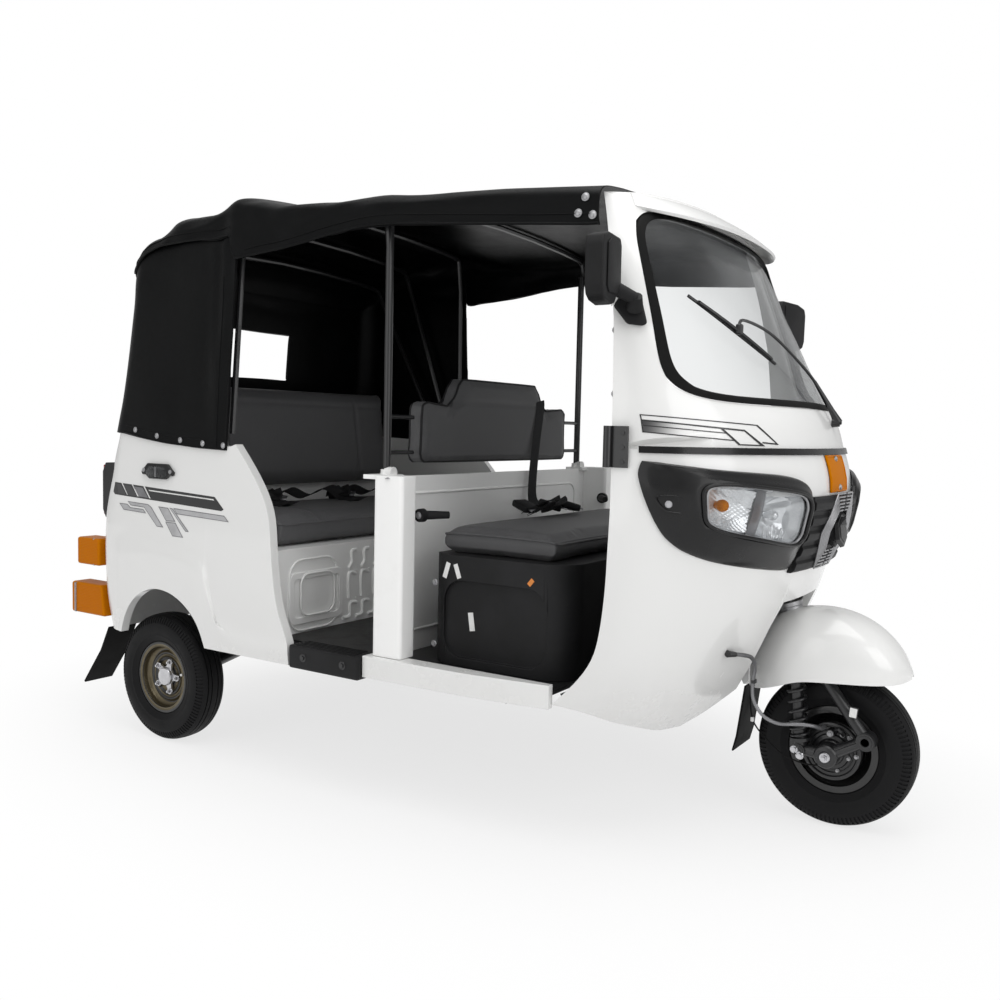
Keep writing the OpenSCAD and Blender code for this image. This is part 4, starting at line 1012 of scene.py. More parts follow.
class RICKSHAW_OT_stripes(bpy.types.Operator):
    """Lays the stripes on the quarters and under the windscreen"""

    bl_idname = "rickshaw.stripes"
    bl_label = "Stripes"

    # Outlines on the quarters: finish, then places forward of the rear axle and heights
    QUARTER = [
        ("stripe black", [(-208, 831), (277, 808), (320, 772), (310, 767), (-204, 791), (-215, 799)]),
        ("stripe dark", [(-196, 826), (-175, 825), (-144, 793), (-184, 795)]),
        ("stripe dark", [(-162, 824), (-123, 822), (-88, 790), (-136, 792)]),
        ("stripe grey", [(-110, 821), (-64, 819), (-32, 788), (-80, 790)]),
        ("label white", [(-172, 829.3), (-166, 829), (-133, 792), (-139, 792.2)]),
        ("label white", [(-119, 827), (-113, 826.6), (-80, 790), (-86, 790)]),
        ("label white", [(-60, 824), (-53, 823.8), (-20, 787), (-27, 787)]),
        ("label white", [(-34, 814), (272, 801), (277, 797), (-28, 810)]),
        ("silver", [(-176, 764), (-134, 763), (-118, 753), (-53, 751), (-38, 738), (-152, 743)]),
        (
            "silver",
            [(-134, 772), (-31, 768), (-13, 759), (39, 709), (50, 699), (18, 700), (-49, 756), (-117, 759)],
        ),
        ("silver", [(19, 764), (67, 762), (106, 721), (61, 720)]),
        ("silver", [(58, 718), (106, 718), (145, 674), (94, 675)]),
        ("silver", [(92, 763), (324, 754), (346, 736), (111, 745)]),
        ("silver", [(73, 763), (90, 761), (170, 694), (154, 694)]),
    ]
    # Outlines under the windscreen: finish, then degrees round the cowl from its middle and heights
    SCREEN = [
        ("stripe fade", [(76.4, 1059), (60, 1050.2), (60, 1041), (76.4, 1047)]),
        ("stripe fade", [(76.4, 1047), (60, 1040.4), (60, 1025.4), (76.7, 1032)]),
        ("stripe black", [(76.3, 1073.2), (36.4, 1055.2), (36.8, 1052.6), (76.3, 1070.6)]),
        ("stripe black", [(36.6, 1055.2), (29.7, 1009), (30.5, 1009), (37.3, 1053)]),
        ("stripe black", [(36.2, 1015), (30, 1011.4), (30, 1008), (36.2, 1011.4)]),
        ("stripe black", [(76.6, 1073.2), (77, 1031), (76.6, 1031), (76.2, 1073.2)]),
        ("stripe black", [(76.4, 1061.4), (42.3, 1042.8), (42.5, 1039), (76.4, 1058)]),
        ("stripe black", [(42.9, 1042.8), (42.0, 1042.8), (35.4, 1004.6), (36.8, 1004.6)]),
        ("stripe black", [(76.4, 1048.8), (48.8, 1035), (48.8, 1032.6), (76.4, 1046.2)]),
        ("stripe black", [(76.7, 1033.8), (46.6, 1018.4), (46.6, 1015.8), (76.7, 1031.2)]),
        ("stripe black", [(50.4, 1042.8), (49.5, 1043.6), (44.3, 1007), (45.2, 1006)]),
        ("stripe black", [(44.9, 1009), (36.2, 1007.6), (36.2, 1004.6), (44.9, 1006)]),
    ]

    def execute(self, context):
        lift = context.scene.rickshaw_body.stripe_lift
        finishes = ["stripe " + tone for tone in ("black", "dark", "grey", "silver")]
        finishes += ["label white", "stripe fade"]
        quarters = skin_of("quarters_dressed")
        front_skins = [skin_of(name) for name in ("screen_surround_dressed", "cowl_dressed")]
        side = bmesh.new()
        for level, (tone, corners) in enumerate(self.QUARTER):
            layers = [(tone, corners)]
            if tone == "silver":
                layers = [("stripe grey", corners), ("stripe silver", self.inset(corners, 2.4))]
            for higher, (name, edges) in enumerate(layers):
                part = outline([at(c[0], -760, c[1]) for c in edges], 0.016)
                lay_on(part, quarters, (0, 1, 0), lift * (1 + 0.35 * higher + 0.5 * (level > 0)))
                add(side, part, finishes.index(name))
        front = bmesh.new()
        for hand, (level, (tone, corners)) in itertools.product((-1, 1), enumerate(self.SCREEN)):
            part = outline([(degrees / 100, 0, z / 1000) for degrees, z in corners], 0.008)
            for vert in part.verts:
                y, z = hand * 600 * math.sin(math.radians(100 * vert.co.x)), vert.co.z * 1000
                out = cowl_out(y, z)
                hits = [skin.ray_cast(on_cowl(y, z, 60), -out) for skin in front_skins]
                place = min((hit for hit in hits if hit[0] is not None), key=lambda hit: hit[3])[0]
                vert.co = place + out * (lift * (1 + 0.1 * level))
            if hand > 0:
                bmesh.ops.reverse_faces(part, faces=part.faces[:])
            add(front, part, finishes.index(tone))
        for name, mesh in (("quarter_stripes", both_sides(side)), ("screen_stripes", front)):
            piece(name, mesh, finishes, "body", "white_paint", smooth=60)
        return {"FINISHED"}

    @staticmethod
    def inset(corners, distance):
        """The outline moved inwards by a distance."""
        points = [Vector(c) for c in corners]
        area = sum(a.x * b.y - b.x * a.y for a, b in zip(points, points[1:] + points[:1]))
        turn = 1 if area > 0 else -1
        moved = []
        for before, here, after in zip(points[-1:] + points[:-1], points, points[1:] + points[:1]):
            one, two = (here - before).normalized(), (after - here).normalized()
            n1, n2 = Vector((-one.y, one.x)) * turn, Vector((-two.y, two.x)) * turn
            both = n1 + n2
            reach = min(distance / max(0.25, both.dot(n1)), 4 * distance)
            moved.append(here + both * reach if both.length > 0.1 else here)
        return moved


class RICKSHAW_OT_chassis(bpy.types.Operator):
    """Dresses the frame, the floor and what hangs under them"""

    bl_idname = "rickshaw.chassis"
    bl_label = "Chassis and floor"

    # Blank labels on the seat's base and on a rear flap: place, turn, size in metres, and white or orange
    LABELS = [
        ((1062, -520.8, 647), 0.3, (0.014, 0.0008, 0.044), 0),
        ((1098, -520.8, 647), -0.35, (0.014, 0.0008, 0.04), 0),
        ((1138, -507.2, 512), -0.15, (0.017, 0.0008, 0.05), 0),
        ((1330, -520.8, 640), 0.7, (0.012, 0.0008, 0.02), 1),
        ((-384, -575, 168), 0.6, (0.001, 0.02, 0.026), 0),
    ]

    def execute(self, context):
        fork = merged("fork")
        for vert in fork.verts:
            if vert.co.y < -0.07 and vert.co.z > 0.45:
                vert.co.y += 0.032
        piece("fork_dressed", fork, "steel black", BODY_OF["fork"], SLOT_OF["fork"], ("fork",), smooth=35)
        dressed(
            "chassis_frame hood_frame rear_arms floor_pan toe_board hatch_hinges door_hinges",
            "steel black",
            smooth=35,
        )
        dressed("floor_mats", "mat rubber", bevel=0.001)
        dressed("rear_flaps front_flap", "soft rubber", bevel=0.001)
        dressed("steps", "plastic black", bevel=0.008)
        dressed("seat_base", "plastic black", bevel=0.012, smooth=50)
        dressed("dashboard", "plastic black", bevel=0.006)
        dressed("tail_lamps", "plastic gloss", bevel=0.003)
        dressed("trim_strip", "plastic gloss", smooth=60)
        dressed("engine_block", "engine metal", bevel=0.01)

        step = bmesh.new()
        for i in range(5):
            block(step, (0.225, 0.004, 0.003), Matrix.Translation(at(737, -(594 + 13 * i), 405)), 0.001)
        for x in (664, 812):
            screw(step, at(x, -658.5, 372), (0, -1, 0), 0.008, 0.005, index=1)
        piece("step_ribs", both_sides(step), ["plastic black", "steel black"], "body", "black_plastic")

        bolts = bmesh.new()
        for z in (962, 996, 1030):
            screw(bolts, at(1622, -604.6, z), (0, -1, 0), 0.0045, 0.003, index=1)
        for z in (1120, 1270, 1430):
            place = on_cowl(-lookup(COWL, z), z)
            screw(bolts, place + Vector((-0.0005, 0.006, 0)), (-1, 0, 0), 0.006, 0.004)
        for z in (440, 610):
            screw(bolts, at(1023, -520.8, z), (0, -1, 0), 0.006, 0.004)
        screw(bolts, at(935, -618, 892), (0, 0, 1), 0.007, 0.004)
        piece("bolts", both_sides(bolts), ["zinc", "steel black"], "body", "black_steel")

        labels = bmesh.new()
        for point, turn, size, index in self.LABELS:
            block(labels, size, turned(at(*point), turn), 0.0003, 1, index)
        piece("blank_labels", labels, ["label white", "label orange"], "body", "white_paint")

        latch = bmesh.new()
        for side in (-1, 1):
            root, knob, end = (at(x, y * side, 792) for x, y in ((1030, 470), (985, 528), (983, 546)))
            bar(latch, root, knob, 0.01, 0.013, 20)
            bar(latch, knob, end, 0.019, 0.018, 24)
            screw(latch, end, (0, side, 0), 0.007, 0.004, index=1)
            bar(latch, at(893, 545 * side, 905), at(868, 545 * side, 905), 0.016, 0.016, 24, 2)
            bar(latch, at(868, 545 * side, 893), at(868, 545 * side, 914), 0.019, 0.017, 24, 2)
        finishes = ["plastic black", "zinc", "body white"]
        piece("latches", latch, finishes, "body", "black_plastic", smooth=40, bevel=0.0015)
        return {"FINISHED"}


class RICKSHAW_OT_glass(bpy.types.Operator):
    """Fits the windscreen, its seal, the wiper and the mirrors"""

    bl_idname = "rickshaw.glass"
    bl_label = "Windscreen, wiper and mirrors"

    # The wiper's arm from its spindle to the blade: from the middle, height, and lift off the glass
    ARM = [
        (92, 1070, 18), (84, 1102, 20), (50, 1180, 22), (-40, 1245, 22), (-141, 1297, 22), (-262, 1316, 22),
        (-296, 1290, 20),
    ]
    # The right mirror's outlines, distance from the middle and height: its shell, raised panel and glass
    SHELL = [
        (603, 1476), (700, 1473), (742, 1462), (750, 1440), (748, 1352), (738, 1330), (716, 1320),
        (668, 1316), (640, 1322), (626, 1338), (600, 1344), (590, 1352), (588, 1372), (590, 1460),
    ]
    PANEL = [(612, 1462), (690, 1460), (716, 1446), (716, 1352), (700, 1340), (640, 1342), (612, 1362)]
    GLASS = [(612, 1462), (720, 1458), (735, 1444), (733, 1350), (716, 1336), (650, 1334), (614, 1352)]
    # Its foot on the screen's surround
    FOOT = [(-561, 1354), (-548, 1360), (-542, 1330), (-546, 1284), (-553, 1278), (-569, 1282), (-568, 1326)]

    def execute(self, context):
        dressed("windscreen", "windscreen", levels=1, smooth=50)
        dressed("screen_seal", "soft rubber", levels=2, smooth=75)
        self.wiper()
        self.mirrors()
        return {"FINISHED"}

    def wiper(self):
        """The wiper: a blade with its back and claws, the bent arm and the spindle."""
        wiper = bmesh.new()
        shares = np.linspace(0, 1, 13)
        line = [(-424 + 266 * t, 1361 - 147 * t - 6 * math.sin(math.pi * t)) for t in shares]
        blade = [on_cowl(y, z, 5) for y, z in line]
        back = [on_cowl(y, z, 10 + 7 * math.sin(math.pi * i / 12)) for i, (y, z) in enumerate(line)][1:-1]
        for rod in (blade, back):
            pipe(wiper, rod, 0.0042, 2)
        for i in (1, 4, 8, 11):
            bar(wiper, blade[i], on_cowl(*line[i], 12), 0.0045, sides=8)
        arm = [on_cowl(*row) for row in self.ARM]
        pipe(wiper, rounded(arm[1:], 5), 0.004, 2)
        bar(wiper, arm[0], arm[1], 0.012, 0.008, 16)
        bar(wiper, arm[1], arm[2], 0.008, 0.0045, 12)
        block(wiper, (0.016, 0.018, 0.026), Matrix.Translation(arm[-1]), 0.004)
        low, middle, high = (on_cowl(92, 1070, lift) for lift in (2, 22, 27))
        bar(wiper, low, middle, 0.014, 0.011, 20)
        bar(wiper, middle, high, 0.006, 0.005, 6)
        piece("wiper_built", wiper, "steel black", "body", "black_plastic", ("wiper",), smooth=45)

    def mirrors(self):
        """Both mirrors: the shell with its panel and glass, the foot and the stalk."""
        mirror = bmesh.new()
        lean = math.tan(math.radians(12))
        for front, corners, depth, bevel, segments, index in (
            (1551, self.SHELL, 0.046, 0.011, 4, 0), (1597, self.PANEL, 0.004, 0.003, 3, 0),
            (1549, self.GLASS, 0.003, 0.001, 1, 1),
        ):
            face = [at(front + (y - 590) * lean, -y, z) for y, z in corners]
            plate(mirror, face, (depth, 0, 0), bevel, segments, index)
        base, out = on_cowl(-556, 1318), cowl_out(-556, 1318)
        plate(mirror, [on_cowl(y, z, 0.5) for y, z in self.FOOT], out * 0.016, 0.006, 3)
        up = Vector((0, 0, 1))
        bar(mirror, base + out * 0.01, base + out * 0.034 + up * 0.026, 0.02, 0.015, 28)
        bar(mirror, base + out * 0.03 + up * 0.02, at(1582, -618, 1366), 0.014, 0.018, 24)
        block(mirror, (0.001, 0.009, 0.02), turned(at(1598, -640, 1327), 0.5, "X"), 0.0003, 1, index=2)
        finishes = ["plastic black", "mirror glass", "label white"]
        piece("mirrors_built", both_sides(mirror), finishes, "body", "black_plastic", ("mirrors",), smooth=40)


class RICKSHAW_OT_lamps(bpy.types.Operator):
    """Fits the lamps, the grille and the reflectors"""

    bl_idname = "rickshaw.lamps"
    bl_label = "Lamps and grille"

    # The bulbs: place along and up the opening, depth behind the cowl, size in metres and finish
    BULBS = [(-0.45, 0.05, -44, 0.013, 1), (0.72, 0.1, -30, 0.015, 3)]
    # A bulb's section, radius and height as shares of its size
    BULB = [(0.5, 2.1), (0.86, 1.7), (1, 1.2), (0.9, 0.6), (0.6, 0.1)]
    # The side repeater's outline, forward of the rear axle and up from its middle
    REPEATER = [(-22, -19), (54, -19), (68, -6), (50, 14), (-20, 14), (-36, -6)]

    def execute(self, context):
        dressed("lamp_bezels", "plastic gloss", levels=2, smooth=60)
        self.headlamps()
        self.nose()
        dressed("marker_lamps", "amber lens", bevel=0.008)
        self.small_lamps()
        return {"FINISHED"}

    def headlamps(self):
        """Both headlamps: lens, reflectors, divider, bulbs and the frame round them."""
        lamp = bmesh.new()

        def lens(u, v):
            a, b = 2 * u - 1, 2 * v - 1
            return on_lens(0.985 * a, 0.985 * b, 9 + 8 * (1 - abs(a) ** 4) * (1 - abs(b) ** 4))

        def bucket(u, v):
            a, b = 2 * u - 1, 2 * v - 1
            most = max(abs(a), abs(b))
            if most > 0.9:
                depth = 5 - 330 * (1 - most)
            elif a < 0.06:
                depth = min(-58 + 40 * min(1.0, math.hypot((a + 0.45) / 0.62, b / 1.0)) ** 2.2, -12)
            else:
                bowl = min(1.0, math.hypot((a - 0.55) / 0.55, (b - 0.1) / 1.1)) ** 2
                depth = min(-42 + 24 * bowl + 1.4 * math.sin(62 * a) * math.sin(36 * b), -12)
            return on_lens(0.99 * a, 0.99 * b, depth)

        def divider(u, v):
            slant = 0.1 - 0.14 * (v - 0.5) + 0.09 * (u - 0.5)
            return on_lens(slant, 0.93 * (2 * v - 1), 6 - 24 * (2 * u - 1) ** 2)

        grid_of(lamp, 24, 14, lens, 0, 0.0022)
        grid_of(lamp, 90, 44, bucket, 1)
        grid_of(lamp, 8, 12, divider, 2, 0.002)
        for share in np.linspace(-0.72, -0.12, 6):
            fin = [on_lens(share - 0.06, -0.4, -16), on_lens(share + 0.04, -0.86, -4)]
            pipe(lamp, fin, 0.0022, 2, index=1)
        for a, b, depth, size, index in self.BULBS:
            y, z = lens_point(a, b)
            rings = [(r * size, h * size) for r, h in self.BULB] + [(0.6 * size, -0.01)]
            place = facing(on_cowl(-y, z, depth), cowl_out(-y, z))
            lathe(lamp, [(0.0001, 2.2 * size)] + rings, place, 24, index)
        frame_line = []
        for degrees in range(0, 360, 5):
            a, b = math.cos(math.radians(degrees)), math.sin(math.radians(degrees))
            most = max(abs(a), abs(b))
            frame_line.append((a / most, b / most))
        for grow, lift, radius, index in ((1.0, 15, 0.0035, 2), (1.05, 22, 0.005, 4)):
            loop = [on_lens(grow * a, grow * b, lift) for a, b in frame_line]
            pipe(lamp, loop, radius, 3, closed=True, index=index)
        screw(lamp, on_cowl(-566, 868, 17), cowl_out(-566, 868), 0.006, 0.004, 14, 5)
        pocket = [on_cowl(y, z, 17.5) for y, z in ((-578, 884), (-552, 884), (-530, 852), (-566, 852))]
        pipe(lamp, rounded(pocket, 6, True), 0.0022, 2, closed=True, index=4)
        finishes = ["clear lens", "reflector", "silver fin", "amber lens", "plastic gloss", "bright steel"]
        piece("headlamps_built", both_sides(lamp), finishes, "body", "lamp_glass", ("headlamps",), smooth=40)

    def nose(self):
        """The grille with its fins round a blank badge, and the amber plate over it."""
        dressed("nose_grille", "plastic black", bevel=0.002)
        fins = bmesh.new()
        for step in range(6):
            radius = 54 + 9 * step
            for side in (-1, 1):
                loop = []
                for degrees in (112, 90, 60, 30, 0, -30, -60, -90, -112):
                    angle = math.radians(degrees)
                    hexagon = radius / max(abs(math.cos(math.radians((degrees % 60) - 30))), 0.5)
                    wider = 1.02 if abs(degrees) < 90 else 1
                    y = side * hexagon * math.cos(angle) * wider
                    loop.append(on_cowl(y + side * 8, 785 + hexagon * math.sin(angle), 21))
                pipe(fins, loop[1:-1], 0.0026, 2)
        piece("grille_fins", fins, "silver fin", "body", "black_plastic", smooth=50)
        badge = bmesh.new()
        middle = on_cowl(0, 785, 29)
        lean = facing(middle, cowl_out(0, 785) + Vector((0, 0, 0.12)))
        for radius, depth in ((0.047, 0.012), (0.036, 0.016)):
            bmesh.ops.create_cone(
                badge,
                cap_ends=True,
                segments=6,
                radius1=radius,
                radius2=radius * 0.93,
                depth=depth,
                matrix=lean,
            )
        piece("blank_badge", badge, "plastic gloss", "body", "black_plastic", bevel=0.002, smooth=30)
        screws = bmesh.new()
        for z in (898, 972):
            screw(screws, on_cowl(0, z, 5), cowl_out(0, z), 0.0065, 0.004, 14)
        piece("plate_screws", screws, "zinc", "body", "amber")
        dressed("front_plate", "amber plate", bevel=0.0015)
        border = bmesh.new()
        corners = [(-72, 890), (72, 890), (72, 980), (-72, 980)]
        pipe(border, [on_cowl(y, z, 5.2) for y, z in sides_of(corners, 6)], 0.0018, 2, closed=True)
        piece("plate_border", border, "amber lens", "body", "amber")

    def small_lamps(self):
        """The side repeaters' lenses, the tail lamps' lenses and the markers' backs."""
        small = bmesh.new()
        plate(small, [at(x, -647.8, 875 + z) for x, z in self.REPEATER], (0, -0.005, 0), 0.002, 2, index=0)
        bar(small, at(14, -653, 857), at(14, -653, 889), 0.0012, sides=6, index=1)
        for x, z in ((-50, 2), (79, 0)):
            screw(small, at(x, -648, 875 + z), (0, -1, 0), 0.005, 0.003, index=2)
        for low, high, index in ((712, 768, 3), (774, 830, 4), (836, 882, 3)):
            corners = [at(-346.5, y, z) for y, z in ((-580, low), (-523, low), (-523, high), (-580, high))]
            plate(small, corners, (-0.006, 0, 0), 0.003, 2, index=index)
        for low, high, x in ((545, 633, -323), (376, 474, -428)):
            size = (0.006, 0.074, (high - low) / 1000 + 0.004)
            block(small, size, Matrix.Translation(at(x, -604, (low + high) / 2)), 0.002, index=2)
        finishes = ["clear lens", "silver fin", "zinc", "red lens", "amber lens"]
        piece("small_lamps", both_sides(small), finishes, "body", "lamp_glass", smooth=40)


class RICKSHAW_OT_hood(bpy.types.Operator):
    """Stretches the hood's cloth over its bows, with its hems and studs"""

    bl_idname = "rickshaw.hood"
    bl_label = "Hood"

    # The roof's hem, in millimetres: forward of the rear axle, drop below the top, half width
    HEM = [
        (1520, 218, 566), (1263, 199, 592), (912, 169, 602), (734, 175, 604), (560, 200, 606),
        (430, 210, 606), (322, 216, 606), (300, 150, 606), (240, 150, 606), (150, 148, 606), (50, 150, 606),
        (-30, 156, 606), (-100, 176, 606), (-150, 205, 602), (-180, 225, 584),
    ]

    # The curtain's hem, forward of the rear axle and height
    LOWER = [(316, 951), (290, 952), (200, 955), (122, 960), (40, 966), (-47, 975), (-120, 988), (-170, 995)]
    # The rear window's corners, from the middle and height
    WINDOW = [(-168, 1186), (168, 1186), (168, 1398), (-168, 1398)]
    # A stud's section, as shares of its radius and heights in metres
    STUD = [(1.3, -0.001), (1.3, 0.0008), (1, 0.0012), (0.92, 0.0028), (0.5, 0.004)]

    def execute(self, context):
        settings = context.scene.rickshaw_hood
        sag = settings.sag
        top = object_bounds()[1][2]
        bows = skin_of("hood_frame_dressed")

        def roof_folds(p):
            side = stop(abs(p.y), 0.5, 0.6)
            drawn = ridged(p, (0.11, 0.5, 0.05), 3.1) * side
            drawn += ridged(p, (0.3, 0.09, 0.2), 7.7) * (1 - side) * 0.45
            rear = stop(-p.x, -at(400, 0, 0).x, -at(40, 0, 0).x)
            lumps = rippled(p, (0.16, 0.24, 0.2), 1.3) * (0.5 + 0.9 * rear)
            fold = sag * (0.75 * drawn + lumps - 0.5)
            near = bows.find_nearest(p, 0.06)[3]
            free = 1.0 if near is None else stop(near, 0.025, 0.06)
            return max(fold, fold * free) + 0.005 * (1 - free)

        roof = refined(merged("hood_roof", quads=True), 2, 50)
        pulled(roof, at(600, 0, 1200), roof_folds)
        look = ("hood vinyl", "body", "black_vinyl")
        roof = piece("hood_roof_cloth", roof, *look, ("hood_roof",), levels=1, smooth=50)

        def curtain_folds(p):
            height = stop(p.z, 0.96, 1.1)
            front = stop(p.x, at(190, 0, 0).x, at(300, 0, 0).x)
            fall = ridged(p, (0.045, 0.4, 0.7), 5.5) * front * 1.3
            broad = rippled(p, (0.22, 0.22, 0.4), 2.4) * 0.9
            small = ridged(p, (0.2, 0.2, 0.06), 9.2) * (1 - stop(p.z, 0.98, 1.12)) * 0.5
            tight = ridged(p, (0.3, 0.3, 0.12), 4.1) * stop(p.z, 1.4, 1.5) * 0.6
            return sag * (fall + broad + small + tight - 0.35) * (0.35 + 0.65 * height)

        curtain = refined(merged("hood_curtain", quads=True), 2, 50)
        pulled(curtain, at(150, 0, 1200), curtain_folds)
        curtain = piece("hood_curtain_cloth", curtain, *look, ("hood_curtain",), levels=1, smooth=50)
        hems = self.hems(top, settings)
        return {"FINISHED"}

    def hems(self, top, settings):
        """Piping along the hems, the studs and the window's frame."""
        hem = bmesh.new()
        roof, curtain = skin_of("hood_roof_cloth"), skin_of("hood_curtain_cloth")
        line = rounded([at(x, -w, top * 1000 - drop) for x, drop, w in self.HEM], 6)
        for up, radius in ((0.0, 0.0035), (0.024, 0.0014)):
            points = [point + Vector((0, -0.0008, 0)) for point in laid(roof, line, (0, 0, up))]
            pipe(hem, points, radius, 2)
        lower = rounded([at(x, -648, z) for x, z in self.LOWER], 6)
        for up, radius in ((0.002, 0.0026), (0.026, 0.0012)):
            pipe(hem, laid(curtain, lower, (0, 0, up)), radius, 2)
        for x, shift, radius in ((317, 0, 0.003), (276, -0.02, 0.0014)):
            upright = [at(x, -640 + 0.08 * (z - 960), z) for z in range(962, 1500, 30)]
            pipe(hem, laid(curtain, upright, (0, shift, 0)), radius, 2)
        small, large = settings.stud_radius, settings.stud_radius * 1.15
        for x, z in ((306, 968), (215, 973), (110, 980), (0, 990), (-110, 1008)):
            self.stud(hem, curtain, at(x, -680, z), Vector((0, -1, 0)), small)
        for y in (-420, -250, -80):
            self.stud(hem, curtain, at(-320, y, 1012), Vector((-1, 0, 0)), small)
        for x, drop in ((1508, 196), (1470, 190), (1490, 150)):
            self.stud(hem, roof, at(x, -620, top * 1000 - drop), Vector((0, -1, 0.1)), large)
        both_sides(hem)
        window = laid(curtain, [at(-330, y, z) for y, z in sides_of(self.WINDOW, 11)])
        pipe(hem, window, 0.0022, 2, closed=True)
        return piece("hood_hems", hem, ["hood vinyl", "zinc"], "body", "black_vinyl", smooth=50)

    def stud(self, mesh, skin, point, out, radius):
        """A snap stud on the cloth: a domed cap on a flat washer."""
        place = skin.find_nearest(point)[0] + out * 0.0012
        rings = [(share * radius, height) for share, height in self.STUD] + [(0.0001, 0.0042)]
        lathe(mesh, rings, facing(place, out), 20, 1)


